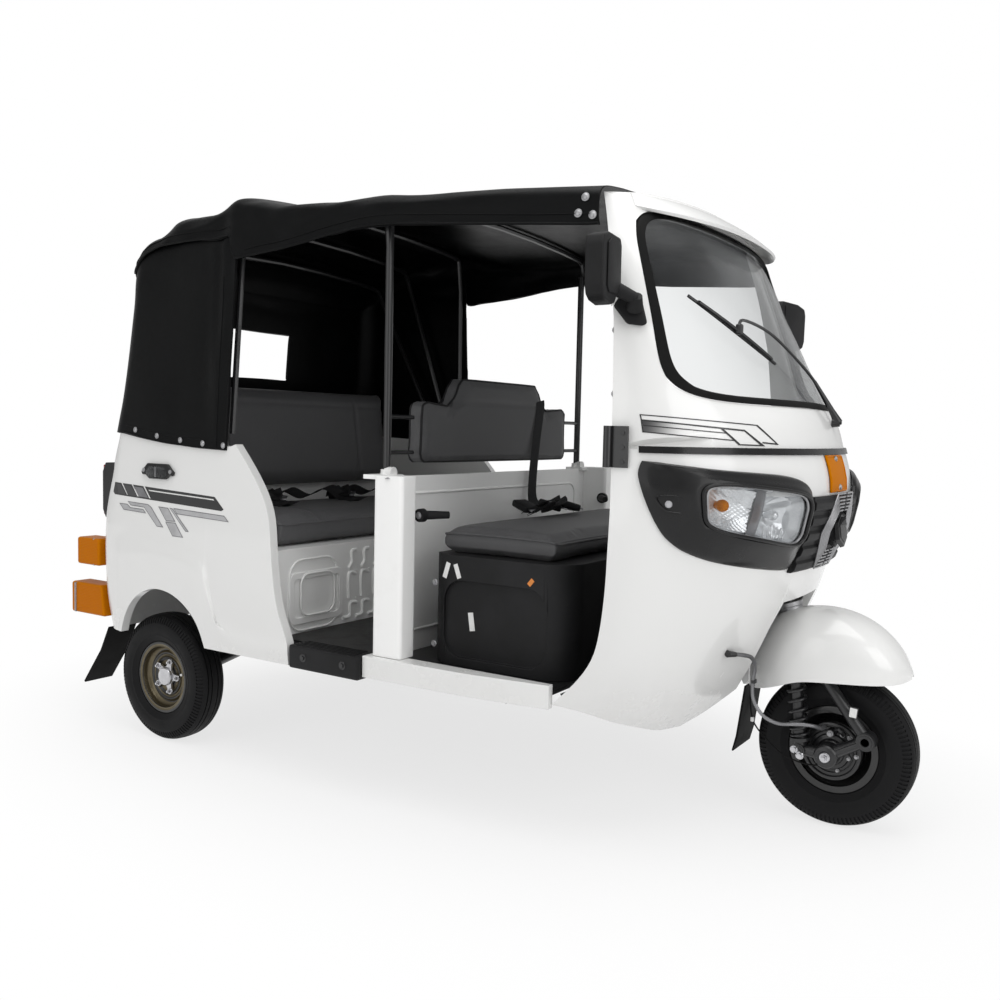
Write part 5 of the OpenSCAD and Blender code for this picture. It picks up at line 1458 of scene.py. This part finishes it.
class RICKSHAW_OT_seats(bpy.types.Operator):
    """Pads the seats and lays the belts"""

    bl_idname = "rickshaw.seats"
    bl_label = "Seats"

    # The front backrest's outline: shares of its half width with insets in metres, and heights
    BACKREST = [
        (-1, 0, 0.93), (-1, 0.02, 0.914), (1, -0.02, 0.914), (1, 0, 0.93), (1, 0, 1.09), (1, -0.02, 1.108),
        (0.68, 0, 1.11), (0.58, 0, 1.17), (0.5, 0, 1.198), (-0.5, 0, 1.198), (-0.58, 0, 1.17),
        (-0.68, 0, 1.11), (-1, 0.02, 1.108), (-1, 0, 1.09),
    ]
    # The belts, in millimetres: the driver's, one that lies folded on the front cushion, and half of a rear
    # lap belt
    DRIVER_BELT = [
        (897, 226, 1130), (902, 220, 1100), (908, 190, 1000), (920, 152, 880), (938, 124, 806),
        (970, 112, 786), (1000, 110, 786),
    ]
    FOLDED_BELT = [
        (1000, 160, 786), (1020, 120, 812), (1050, 70, 800), (1040, 10, 790), (1075, -40, 806),
        (1050, -90, 787),
    ]
    LAP_BELT = [(8, 150, 768), (50, 120, 800), (110, 90, 778), (170, 40, 812), (220, 10, 776), (280, -20, 772)]

    # The padded pieces: node, cover, how far the copy is drawn in, the mesh's step and the most that it is
    # blown up, in metres, and levels of rounding; the rear backrest's fine mesh needs none in its shade
    PADS = [
        # The rear pieces take the cover painted lighter against the hood's shade
        ("rear_cushion", "seat dark", 0.012, 0.008, 0.014, 1),
        ("rear_backrest", "seat dark", 0.012, 0.008, 0.014, 0),
        ("front_cushion", "seat vinyl", 0.01, 0.007, 0.014, 1),
        ("front_backrest", "seat vinyl", 0.009, 0.006, 0.01, 1),
    ]

    def execute(self, context):
        for pad in self.PADS:
            self.cushion(*pad)
        self.piping(context.scene.rickshaw_seats.piping)
        self.belts()
        return {"FINISHED"}

    def cushion(self, node, cover, shrink, voxel, cap, levels):
        """A padded piece blown up from a slightly smaller copy of its solid."""
        low, high = (Vector(corner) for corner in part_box(node))
        middle, size = (low + high) / 2, high - low
        mesh = merged(node)
        for vert in mesh.verts:
            vert.co = middle + Vector((vert.co - middle)[k] * (1 - 2 * shrink / size[k]) for k in range(3))
        pad = object_of("pad", mesh)
        remesh = pad.modifiers.new("even", "REMESH")
        remesh.mode, remesh.voxel_size = "VOXEL", voxel
        even = shown_mesh(pad)
        pad.modifiers.remove(remesh)
        pad.data = even
        start = self.vertex_places(even)
        move = self.vertex_places(self.blown(pad)) - start
        far = np.linalg.norm(move, axis=1, keepdims=True)
        start = start + move * np.minimum(1, cap / np.maximum(far, 1e-9))
        shape = bmesh.new()
        shape.from_mesh(even)
        for vert, place in zip(shape.verts, start):
            vert.co = self.sewn(node, Vector(place), low, high)
        bpy.data.objects.remove(pad)
        made = piece(node + "_padded", shape, cover, "body", "seat_vinyl", (node,), levels=levels, smooth=80)

    @staticmethod
    def vertex_places(mesh):
        """The places of a mesh's vertices, one row each."""
        flat = np.empty(len(mesh.vertices) * 3)
        mesh.vertices.foreach_get("co", flat)
        return flat.reshape(-1, 3)

    @staticmethod
    def blown(pad):
        """The pad's mesh after its cover has been blown up as cloth for some frames."""
        cloth = pad.modifiers.new("cover", "CLOTH")
        cloth.settings.quality = 4
        cloth.settings.effector_weights.gravity = 0
        cloth.settings.use_pressure, cloth.settings.uniform_pressure_force = True, 4
        cloth.settings.tension_stiffness = cloth.settings.compression_stiffness = 12
        cloth.settings.bending_stiffness = 0.4
        cloth.collision_settings.use_collision = False
        cloth.point_cache.frame_start, cloth.point_cache.frame_end = 1, 20
        scene = bpy.context.scene
        for frame_number in range(1, 21):
            scene.frame_set(frame_number)
            bpy.context.view_layer.update()
        mesh = shown_mesh(pad)
        pad.modifiers.remove(cloth)
        scene.frame_set(1)
        return mesh

    @staticmethod
    def sewn(node, p, low, high):
        """Seams, creases and hollows pressed into a padded point, which stays in its solid's space."""
        middle, half = (low + high) / 2, (high - low) / 2
        u, v, w = ((p[k] - middle[k]) / half[k] for k in range(3))
        cushion = node.endswith("cushion")
        if cushion:
            front = node == "front_cushion"
            crown = (1 - min(1, abs(u)) ** 2.4) * (1 - min(1, abs(v)) ** 5)
            top = stop(w, 0.2, 0.7)
            p.z -= top * (1 - crown) * 0.012
            if front:
                p.z -= top * 0.006 * (groove(v, 0.02, 0.42) * stop(u, -0.9, -0.2))
            step = groove(p.z, high.z - (0.03 if front else 0.034), 0.004)
            for seam in () if front else (-0.34, 0.34):
                p.z -= top * 0.007 * groove(p.y, seam, 0.008)
            p.x -= math.copysign(0.003, u) * step * stop(abs(u), 0.6, 0.9)
            p.y -= math.copysign(0.003, v) * step * stop(abs(v), 0.9, 0.97)
        else:
            face = stop(u, 0.1, 0.6)
            if node == "front_backrest":
                line = 1.112
                p.x -= face * 0.005 * groove(p.z, line, 0.012) * stop(0.9 - abs(v), 0, 0.1)
                p.x -= face * 0.0016 * stop(p.z, line, line + 0.05)
                p.x += face * 0.002 * groove(p.z, 1.155, 0.012) * stop(0.42 - abs(v), 0, 0.04)
            else:
                for seam in (-0.34, 0.34):
                    p.x -= face * 0.005 * groove(p.y, seam, 0.009)
                p.x -= face * 0.003 * groove(p.z, 1.11, 0.01)
        inset, crown_room = 0.0006, 0.004 if cushion else 0
        limit = high - Vector((inset, inset, inset - crown_room))
        return Vector(min(max(p[k], low[k] + inset), limit[k]) for k in range(3))

    def piping(self, radius):
        """Piping round the cushions' faces."""
        line = bmesh.new()
        for node, drop, cover in (("front_cushion", 0.022, 0), ("rear_cushion", 0.026, 1)):
            low, high = (Vector(corner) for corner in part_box(node))
            loop = [(x, y, high.z - drop) for x, y in self.round_loop(low, high, 0.05)]
            pipe(line, laid(skin_of(node + "_padded"), loop), radius, 2, closed=True, index=cover)
        skin = skin_of("front_backrest_padded")
        low, high = (Vector(corner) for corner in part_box("front_backrest"))
        corners = [(high.y * share + inset, z) for share, inset, z in self.BACKREST]
        for x in (high.x - 0.004, low.x + 0.004):
            loop = [(x, y, z) for y, z in sides_of(corners, 6)]
            pipe(line, laid(skin, loop), radius, 2, closed=True, index=2)
        # The rear cushion's piping takes the cover painted lighter against the hood's shade
        covers = ["seat vinyl", "seat dark", "plastic black"]
        piece("seat_piping", line, covers, "body", "seat_vinyl", smooth=50)

    @staticmethod
    def round_loop(low, high, radius):
        """Points of a rectangle with round corners in plan, just outside a box."""
        points = []
        for quarter, (sx, sy) in enumerate(((1, 1), (-1, 1), (-1, -1), (1, -1))):
            cx = (high.x - radius) if sx > 0 else (low.x + radius)
            cy = (high.y - radius) if sy > 0 else (low.y + radius)
            for step in range(7):
                angle = math.radians(90 * quarter + 15 * step)
                reach = radius + 0.005
                points.append((cx + reach * math.cos(angle), cy + reach * math.sin(angle)))
        full = []
        for (x0, y0), (x1, y1) in zip(points, points[1:] + points[:1]):
            count = max(1, int(math.hypot(x1 - x0, y1 - y0) / 0.02))
            full += [(x0 + (x1 - x0) * i / count, y0 + (y1 - y0) * i / count) for i in range(count)]
        return full

    def belts(self):
        """The driver's belt, the lap belts on both cushions and their buckles."""
        belt = bmesh.new()
        strap(belt, places(self.DRIVER_BELT), (0.25, 1, 0.25), 0.04)
        for dx, dy in ((0, 0), (34, -20), (60, -60)):
            points = [at(x + dx, y + dy, z) for x, y, z in self.FOLDED_BELT]
            strap(belt, points, (0.7, 0.5, 0.5), 0.044)
        for x, y, z, turn in ((1060, 30, 796, 0.5), (1030, -70, 796, -0.4), (1090, 90, 794, 1.2)):
            self.buckle(belt, turned(at(x, y, z), turn, "Z") @ Matrix.Rotation(0.25, 4, "Y"), 0.052)
        for centre in (-330, 10, 340):
            for side in (-1, 1):
                points = [at(x, centre + y * side, z) for x, y, z in self.LAP_BELT]
                strap(belt, points, (0.3, 0.8, 0.3), 0.044)
            self.buckle(belt, turned(at(190, centre, 786), 0.6, "Z") @ Matrix.Rotation(0.35, 4, "X"), 0.05)
        finishes = ["belt webbing", "plastic black", "bright steel"]
        piece("belts_built", belt, finishes, "body", "webbing", ("seat_belts",), smooth=50)

    @staticmethod
    def buckle(belt, place, width):
        """A buckle with its tongue, placed by a matrix."""
        block(belt, (0.075, width, 0.022), place, 0.006, 3, index=1)
        block(belt, (0.02, 0.03, 0.004), place @ Matrix.Translation((0.046, 0, 0.002)), 0.001, 1, index=2)


class RICKSHAW_OT_wheels(bpy.types.Operator):
    """Builds the tyres and rims"""

    bl_idname = "rickshaw.wheels"
    bl_label = "Wheels"

    # Half of the tyre's section, from the crown over the shoulder to the bead and back inside, in millimetres
    SECTION = [
        (0, 206), (10, 205.8), (10.5, 201.6), (13, 201.4), (13.5, 205.5), (24, 204.7), (24.5, 200.4),
        (27.2, 200.1), (27.7, 204), (35, 201.8), (41, 197.6), (45.6, 192), (49.4, 184.5), (51.6, 177),
        (52.4, 175.4), (53.4, 167), (54, 156), (53.4, 147), (51.6, 139), (51.9, 137.6), (50.6, 135.4),
        (47, 128), (43, 121.6), (41.8, 118.4), (38.6, 117.4), (37.8, 116.2), (37.7, 102.2), (27, 102.2),
        (31, 121), (43, 143), (46, 166), (40, 184), (22, 190), (0, 192.4),
    ]
    # The rim's section, radius and place outwards, in millimetres
    RIM = [
        (14.1, -46), (30, -46), (30, -34), (72, -34), (74, -32), (74, -4), (79, 2), (84.5, -14), (98.4, -27),
        (98.4, -41), (112.5, -42.2), (115.2, -41), (115.5, -38.2), (101.6, -38), (101.4, -24), (87.5, -12),
        (87.5, 10), (101.4, 22), (101.6, 38), (113.6, 38), (115.5, 39.4), (115.5, 41), (113.6, 42),
        (108, 41.6), (103.5, 39.6), (99.6, 40.4), (98.2, 38), (98.2, 26), (96.4, 20), (91, 14.6),
        (87.4, 12.4), (84.4, 12), (81.8, 13.4), (79.4, 16.6), (76.8, 18.2), (73.4, 17.4), (70.6, 14.2),
        (67.4, 13), (64.6, 14.2), (62, 18.4), (58.4, 20), (52, 15), (44, 13), (38, 13), (0.1, 13),
        (0.1, 12.4), (14.1, 12),
    ]
    # The rings of the rear rims that are painted bronze: radius from and to, and the least height, in metres
    BRONZE = [
        (0.0885, 0.0982, 0.011), (0.0768, 0.0835, 0.011), (0.0615, 0.0705, 0.011), (0.04, 0.0545, 0.011),
        (0.0981, 0.0984, 0.02), (0.1, 0.107, 0.011),
    ]
    HUB_CAP = [(30, 22), (29.5, 31), (27, 34.5), (0.1, 36)]

    def execute(self, context):
        blocks = context.scene.rickshaw_wheels.blocks
        hubs = (("front", FRONT_AXLE, 0, 1), ("left", 0, TRACK_HALF, 1), ("right", 0, -TRACK_HALF, -1))
        for side, x, y, out in hubs:
            place = turned(at(x, y, HUB_HEIGHT), -out * math.pi / 2, "X")
            body = side + "_wheel"
            self.tyre(side, place, body, blocks)
            self.rim(side, place, body)
        return {"FINISHED"}

    def tyre(self, side, place, body, blocks):
        """A tyre with ribs round its tread and blocks round its shoulders."""
        tyre = bmesh.new()
        half = [(r, a) for a, r in metres(self.SECTION)]
        ring = half + [(r, -a) for r, a in reversed(half[1:-1])]
        lathe(tyre, ring, Matrix.Identity(4), 2 * blocks, closed=True)
        grooves = []
        for face in tyre.faces:
            middle = face.calc_center_median()
            radius, a = math.hypot(middle.x, middle.y), abs(middle.z)
            sector = int((math.atan2(middle.y, middle.x) % (2 * math.pi)) / (math.pi / blocks))
            if 0.0395 < a < 0.0518 and 0.174 < radius < 0.199 and sector % 2:
                grooves.append(face)
        bmesh.ops.inset_region(tyre, faces=grooves, thickness=0.0006, depth=-0.0024, use_even_offset=False)
        bmesh.ops.transform(tyre, matrix=place, verts=tyre.verts)
        piece(side + "_tyre_built", tyre, "tyre rubber", body, "tyre_rubber", (side + "_tyre",), smooth=28)

    def rim(self, side, place, body):
        """A pressed rim with its rings, hub plate, studs and valve."""
        rim = bmesh.new()
        lathe(rim, metres(self.RIM), place, 72, 0, closed=True)
        for face in rim.faces:
            centre = place.inverted() @ face.calc_center_median()
            radius = math.hypot(centre.x, centre.y)
            if any(low < radius < high and centre.z > least for low, high, least in self.BRONZE):
                face.material_index = 1
        turn = place.to_3x3()
        out = turn @ Vector((0, 0, 1))
        corners = []
        for step in range(80):
            angle = 2 * math.pi * step / 80
            reach = 0.031 + 0.028 * ((1 + math.cos(5 * angle)) / 2) ** 2.4
            corners.append(place @ Vector((reach * math.cos(angle), reach * math.sin(angle), 0.0145)))
        plate(rim, corners, out * 0.009, 0.0012, 2, index=2)
        lathe(rim, metres(self.HUB_CAP), place, 40, 2)
        for i in range(5):
            angle = 2 * math.pi * i / 5
            stud = place @ Vector((0.05 * math.cos(angle), 0.05 * math.sin(angle), 0.0225))
            screw(rim, stud, out, 0.0075, 0.008, 6, 2)
            bar(rim, stud + out * 0.007, stud + out * 0.0125, 0.0042, 0.0036, 12, 2)
        across = (turn @ Vector((0.88, 0.2, 0))).normalized()
        valve = place @ Vector((0.088, 0.02, 0.014))
        neck, tip = valve + out * 0.022 + across * 0.006, valve + out * 0.031 + across * 0.0085
        bar(rim, valve, neck, 0.004, 0.0032, 12, 0)
        bar(rim, neck, tip, 0.0042, 0.0038, 12, 3)
        mark = place @ turned((0.016, -0.052, 0.0165), 0.5, "Z")
        block(rim, (0.01, 0.014, 0.0006), mark, 0.0002, 1, index=4)
        ring = "rim black" if side == "front" else "bronze"
        names = ["rim black", ring, "bright steel", "label white", "label orange"]
        piece(side + "_rim_built", rim, names, body, SLOT_OF[side + "_rim"], (side + "_rim",), smooth=32)


class RICKSHAW_OT_front_end(bpy.types.Operator):
    """Builds the trailing link, its spring leg, the brake plate and the cables"""

    bl_idname = "rickshaw.front_end"
    bl_label = "Front link and cables"

    # Sections, radius and place along the axis in millimetres: the brake plate and the column's collar
    BRAKE = [
        (14, 8), (14, 52), (70, 52), (76, 53.5), (76, 58), (72, 60), (66, 60), (64, 57.5), (48, 57.5),
        (45, 62), (36, 64), (33, 72), (30, 74), (30, 116), (27, 119), (0.1, 119),
    ]
    COLLAR = [
        (34.5, -62), (36.2, -60), (36.2, -50), (34.6, -48), (34.6, -26), (36.6, -24), (36.6, -13.5),
        (34, -12),
    ]
    # The spring leg's rods and cups: from and to along it, and radius, in metres
    LEG = [
        (0.0, 0.062, 0.0165), (0.06, 0.2, 0.0135), (0.012, 0.02, 0.027), (0.202, 0.212, 0.027),
        (0.05, 0.056, 0.02),
    ]
    COIL_TURNS, COIL_STEPS = 8, 20
    # Bolts of the brake plate: forward of the rear axle, height and radius
    PLATE_BOLTS = [
        (2013, 256, 5), (2031, 250, 5), (2030, 196, 4.5), (2050, 204, 4.5), (1984, 250, 4), (1958, 176, 4),
        (1948, 184, 4), (2004, 158, 4),
    ]
    # The cables' ways, in millimetres
    CONDUIT = [
        (1798, -326, 486), (1814, -282, 478), (1820, -230, 462), (1814, -185, 430), (1802, -160, 385),
        (1802, -150, 335), (1826, -146, 296), (1868, -144, 280), (1918, -140, 286), (1950, -124, 284),
        (1966, -92, 272), (1966, -60.5, 270),
    ]
    THIN_CABLE = [
        (1806, -156, 388), (1790, -142, 350), (1796, -134, 278), (1826, -130, 236), (1880, -130, 196),
        (1940, -122, 180), (1978, -104, 182), (1982, -62, 184),
    ]

    def execute(self, context):
        self.link()
        self.collars()
        self.bars()
        self.cables()
        return {"FINISHED"}

    def link(self):
        """The trailing link with its brake plate, its eyes and bolts, and the spring leg."""
        link = bmesh.new()
        outwards_right = (0, -1, 0)
        axle, pivot = at(FRONT_AXLE, -96, HUB_HEIGHT), at(2082, -96, 262)
        foot, top = at(1915, -98, 222), at(1892, -98, 440)
        eye = foot - Vector((0, 0, 0.012))
        lathe(link, metres(self.BRAKE), turned(at(FRONT_AXLE, 0, HUB_HEIGHT), math.pi / 2, "X"), 64)
        for radius in (56, 68):
            angles = np.linspace(0, 2 * math.pi, 49)[:-1]
            ring = [(radius * math.cos(angle), radius * math.sin(angle)) for angle in angles]
            loop = [at(FRONT_AXLE + ahead, -61, HUB_HEIGHT + up) for ahead, up in ring]
            pipe(link, loop, 0.0016, 2, closed=True)
        bar(link, axle.lerp(pivot, 0.1), axle.lerp(pivot, 0.86), 0.018, 0.014, 28)
        bar(link, axle, eye, 0.018, 0.015, 28)
        rib = axle.lerp(pivot, 0.5) + Vector((0, -0.012, 0))
        block(link, (0.08, 0.016, 0.012), turned(rib, -math.radians(30)), 0.004)
        for place, r in ((pivot, 0.022), (eye, 0.017)):
            bar(link, place + Vector((0, 0.019, 0)), place - Vector((0, 0.021, 0)), r, sides=36)
            cap = [(r * 0.82, 0.019), (r * 0.78, 0.0225), (r * 0.5, 0.0235), (r * 0.44, 0.021)]
            lathe(link, cap + [(0.0001, 0.021)], turned(place, math.pi / 2, "X"), 32)
        screw(link, at(FRONT_AXLE, -119, HUB_HEIGHT), outwards_right, 0.0165, 0.004, 18)
        screw(link, at(FRONT_AXLE, -123, HUB_HEIGHT), outwards_right, 0.0095, 0.01, 6, 2)
        bar(link, at(FRONT_AXLE, -133, HUB_HEIGHT), at(FRONT_AXLE, -137, HUB_HEIGHT), 0.006, 0.005, 16, 2)
        for x, z in ((1905, 212), (1920, 198)):
            screw(link, at(x, -119, z), outwards_right, 0.0075, 0.006, 6, 2)
        for x, z, r in self.PLATE_BOLTS:
            screw(link, at(x, -60.5, z), outwards_right, r / 1000, 0.005, 6, 1)
        lever = places([(1990, -66, 262), (2004, -74, 272), (2012, -76, 268), (2018, -70, 258)])
        pipe(link, rounded(lever, 6), 0.006, 3)
        bar(link, at(FRONT_AXLE, -62, 258), at(FRONT_AXLE, -78, 258), 0.012, 0.01, 20)
        screw(link, at(FRONT_AXLE, -78, 258), outwards_right, 0.006, 0.005, 6, 1)
        direction = (top - foot).normalized()
        for low, high, radius in self.LEG:
            bar(link, foot + direction * low, foot + direction * high, radius, sides=32)
        side = direction.cross(Vector((0, 1, 0))).normalized()
        across = direction.cross(side)
        coil = []
        for i in range(self.COIL_TURNS * self.COIL_STEPS + 1):
            turn, share = 2 * math.pi * i / self.COIL_STEPS, i / (self.COIL_TURNS * self.COIL_STEPS)
            height = 0.023 + 0.177 * (share - 0.035 * math.sin(2 * math.pi * share))
            off = side * math.cos(turn) + across * math.sin(turn)
            coil.append(foot + direction * height + off * 0.0215)
        pipe(link, coil, 0.0042, 3)
        finishes = ["steel black", "zinc", "bright steel"]
        piece("front_link_built", link, finishes, "steering", "black_steel", ("front_link",), smooth=40)

    def collars(self):
        """The blank label on the fork's leg and the collar under the cowl."""
        collar = bmesh.new()
        for index, size, y in ((0, (0.018, 0.0016, 0.024), -112.3), (1, (0.0225, 0.0012, 0.03), -111.6)):
            block(collar, size, turned(at(2049, y, 332), 0.1), 0.0005, 1, index)
        lathe(collar, metres(self.COLLAR), STEERING_HEAD, 48, 2)
        finishes = ["label white", "steel black", "zinc"]
        piece("collar_rings", collar, finishes, "steering", "black_steel", smooth=40)

    def bars(self):
        """Grips and levers of the handlebar."""
        grips = bmesh.new()
        for side in (-1, 1):
            start = STEERING_HEAD @ Vector((-0.058, 0.17 * side, 0.4065))
            end = STEERING_HEAD @ Vector((-0.15, 0.32 * side, 0.4))
            axis = (end - start).normalized()
            length = (end - start).length
            ribs = [(0.0158 + 0.0012 * (i % 2), length * (0.02 + 0.9 * i / 26)) for i in range(27)]
            ends = [(0.019, length * 0.94), (0.019, length * 0.99), (0.0001, length)]
            lathe(grips, [(0.0001, 0.0)] + ribs + ends, facing(start, axis), 28)
            root = STEERING_HEAD @ Vector((-0.03, 0.135 * side, 0.425))
            lever = [root]
            for reach, ahead, up in ((0.03, 0.03, 0.002), (0.09, 0.034, -0.004), (0.15, 0.03, -0.008)):
                lever.append(root + axis * reach + Vector((ahead, 0, up)))
            pipe(grips, rounded(lever, 6), 0.005, 3, index=1)
            block(grips, (0.05, 0.05, 0.042), facing(root, axis), 0.01, 3)
        piece("grips", grips, ["soft rubber", "zinc"], "steering", "black_steel", smooth=40)

    def cables(self):
        """The ribbed brake conduit with its socket, and the thin cable with its clips."""
        line = rounded(places(self.CONDUIT), 20)
        conduit = bmesh.new()
        pipe(conduit, line, 0.0044, 3)
        spent = 0.0
        for before, here in zip(line, line[1:]):
            spent += (here - before).length
            if spent > 0.0033:
                spent = 0.0
                half = (here - before).normalized() * 0.0007
                bar(conduit, here - half, here + half, 0.0054, sides=12)
        look = ("conduit steel", None, "sheathing")
        made = piece("brake_conduit_built", conduit, *look, ("brake_conduit",), smooth=50)
        tuple(line[10])
        tuple(line[120])
        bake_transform(made)
        self.declare(made, line, 0.0108, "stiff")

        thin = bmesh.new()
        thin_line = rounded(places(self.THIN_CABLE), 12)
        pipe(thin, thin_line, 0.0021, 3)
        made = piece("thin_cable", thin, "soft rubber", "steering", "black_steel", smooth=60)
        clip = bmesh.new()
        block(clip, (0.009, 0.009, 0.012), Matrix.Translation(at(1796, -134, 276)), 0.002, index=0)
        block(clip, (0.012, 0.016, 0.012), Matrix.Translation(at(1804, -158, 385)), 0.003, index=1)
        piece("cable_clips", clip, ["label white", "steel black"], "steering", "black_steel")
        self.declare(made, thin_line, 0.0042, "medium")

        socket = bmesh.new()
        start = (line[0] - line[1]).normalized()
        bar(socket, line[0] + start * 0.012, line[0] - start * 0.018, 0.009, 0.0065, 24)
        piece("conduit_socket", socket, "steel black", "body", "black_steel", smooth=40)

    @staticmethod
    def declare(made, line, diameter, stiffness):
        """Makes a list of the points of a cord's line and does nothing more with them."""
        path = [tuple(point) for point in line]
        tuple(path[0])


class RICKSHAW_OT_stage(bpy.types.Operator):
    """Lays the pale floor and hangs soft studio lamps"""

    bl_idname = "rickshaw.stage"
    bl_label = "Stage"

    # The area lamps: name, place, size and share of the key light's power
    LAMPS = [
        ("overhead", (0.6, -0.6, 3.6), 3.2, 1), ("front", (3.6, -1.2, 1.9), 2.2, 0.42),
        ("side", (-0.8, -3.8, 1.7), 2.6, 0.3),
    ]
    AIM = Vector((0.1, 0, 0.8))

    def execute(self, context):
        settings = context.scene.rickshaw_stage
        self.floor()
        context.scene.world = self.studio(settings.fill)
        for name, place, size, share in self.LAMPS:
            lamp = bpy.data.lights.new(name, "AREA")
            lamp.size, lamp.energy = size, settings.key * share
            holder = bpy.data.objects.new(name, lamp)
            holder.location = place
            holder.rotation_mode = "QUATERNION"
            holder.rotation_quaternion = (self.AIM - Vector(place)).to_track_quat("-Z", "Y")
            context.scene.collection.objects.link(holder)
        context.scene.view_settings.view_transform = "Standard"
        return {"FINISHED"}

    @staticmethod
    def floor():
        """A pale floor that glows white to the camera away from the vehicle and takes its shadow near it."""
        ground = bmesh.new()
        bmesh.ops.create_grid(ground, x_segments=2, y_segments=2, size=14)
        floor = object_of("floor", ground)
        floor.location.z = -0.0005
        floor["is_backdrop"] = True
        made = Finish("floor", Base_Color=(0.9, 0.9, 0.9), Roughness=0.9, Specular_IOR_Level=0.1)
        rays = made.tree.nodes.new("ShaderNodeLightPath")
        camera, glossy, through = (
            Value(made, rays.outputs[f"Is {kind} Ray"]) for kind in ("Camera", "Glossy", "Transmission")
        )
        oval = made.node("ShaderNodeMapping", {}, {"Vector": made.object_place, "Scale": (0.62, 1.0, 1)})
        away = made.node("ShaderNodeVectorMath", {"operation": "LENGTH"}, {0: oval}, "Value")
        glow = made.node("ShaderNodeEmission", {}, {"Color": (1, 1, 1, 1), "Strength": 1.0})
        share = camera.maximum(glossy).maximum(through) * (0.74 + away.above(0.7, 1.4) * 0.26)
        lit = Value(made, made.shader.outputs[0])
        mixed = made.node("ShaderNodeMixShader", {}, {0: share, 1: lit, 2: glow})
        made.tree.links.new(mixed.socket, made.output.inputs[0])
        floor.data.materials.append(made.material)

    @staticmethod
    def studio(fill):
        """A world that is white to the camera and gives a soft light from all round."""
        world = bpy.data.worlds.new("studio")
        world.use_nodes = True
        tree = world.node_tree
        tree.nodes.clear()
        names = ("LightPath", "Math", "MixShader", "Background", "Background", "OutputWorld")
        rays, either, mix, soft, white, output = (tree.nodes.new("ShaderNode" + name) for name in names)
        either.operation = "MAXIMUM"
        soft.inputs["Strength"].default_value = fill
        for background in (soft, white):
            background.inputs["Color"].default_value = (1, 1, 1, 1)
        for source, target in (
            (rays.outputs["Is Camera Ray"], either.inputs[0]),
            (rays.outputs["Is Transmission Ray"], either.inputs[1]),
            (either.outputs[0], mix.inputs[0]), (soft.outputs[0], mix.inputs[1]),
            (white.outputs[0], mix.inputs[2]), (mix.outputs[0], output.inputs[0]),
        ):
            tree.links.new(source, target)
        return world


class RICKSHAW_PT_panel(bpy.types.Panel):
    """Shows the rickshaw's settings and the buttons of its building steps in the sidebar"""

    bl_label = "Rickshaw"
    bl_space_type = "VIEW_3D"
    bl_region_type = "UI"
    bl_category = "Rickshaw"

    def draw(self, context):
        for name, group in GROUPS.items():
            settings = getattr(context.scene, name)
            box = self.layout.box()
            for field in group.__annotations__:
                box.prop(settings, field)
        for operator in OPERATORS:
            self.layout.operator(operator.bl_idname)


GROUPS = {
    "rickshaw_body": BodySettings, "rickshaw_hood": HoodSettings, "rickshaw_seats": SeatSettings,
    "rickshaw_wheels": WheelSettings, "rickshaw_lamps": LampSettings, "rickshaw_stage": StageSettings,
}
OPERATORS = [
    RICKSHAW_OT_camera, RICKSHAW_OT_panels, RICKSHAW_OT_stripes, RICKSHAW_OT_chassis, RICKSHAW_OT_glass,
    RICKSHAW_OT_lamps, RICKSHAW_OT_hood, RICKSHAW_OT_seats, RICKSHAW_OT_wheels, RICKSHAW_OT_front_end,
    RICKSHAW_OT_stage,
]


def register():
    for group in GROUPS.values():
        bpy.utils.register_class(group)
    for name, group in GROUPS.items():
        setattr(bpy.types.Scene, name, bpy.props.PointerProperty(type=group))
    for operator in OPERATORS:
        bpy.utils.register_class(operator)
    bpy.utils.register_class(RICKSHAW_PT_panel)


def unregister():
    bpy.utils.unregister_class(RICKSHAW_PT_panel)
    for operator in reversed(OPERATORS):
        bpy.utils.unregister_class(operator)
    for name, group in GROUPS.items():
        delattr(bpy.types.Scene, name)
        bpy.utils.unregister_class(group)


def main():
    register()
    for operator in OPERATORS:
        group, name = operator.bl_idname.split(".")
        getattr(getattr(bpy.ops, group), name)()


if __name__ == "__main__":
    main()
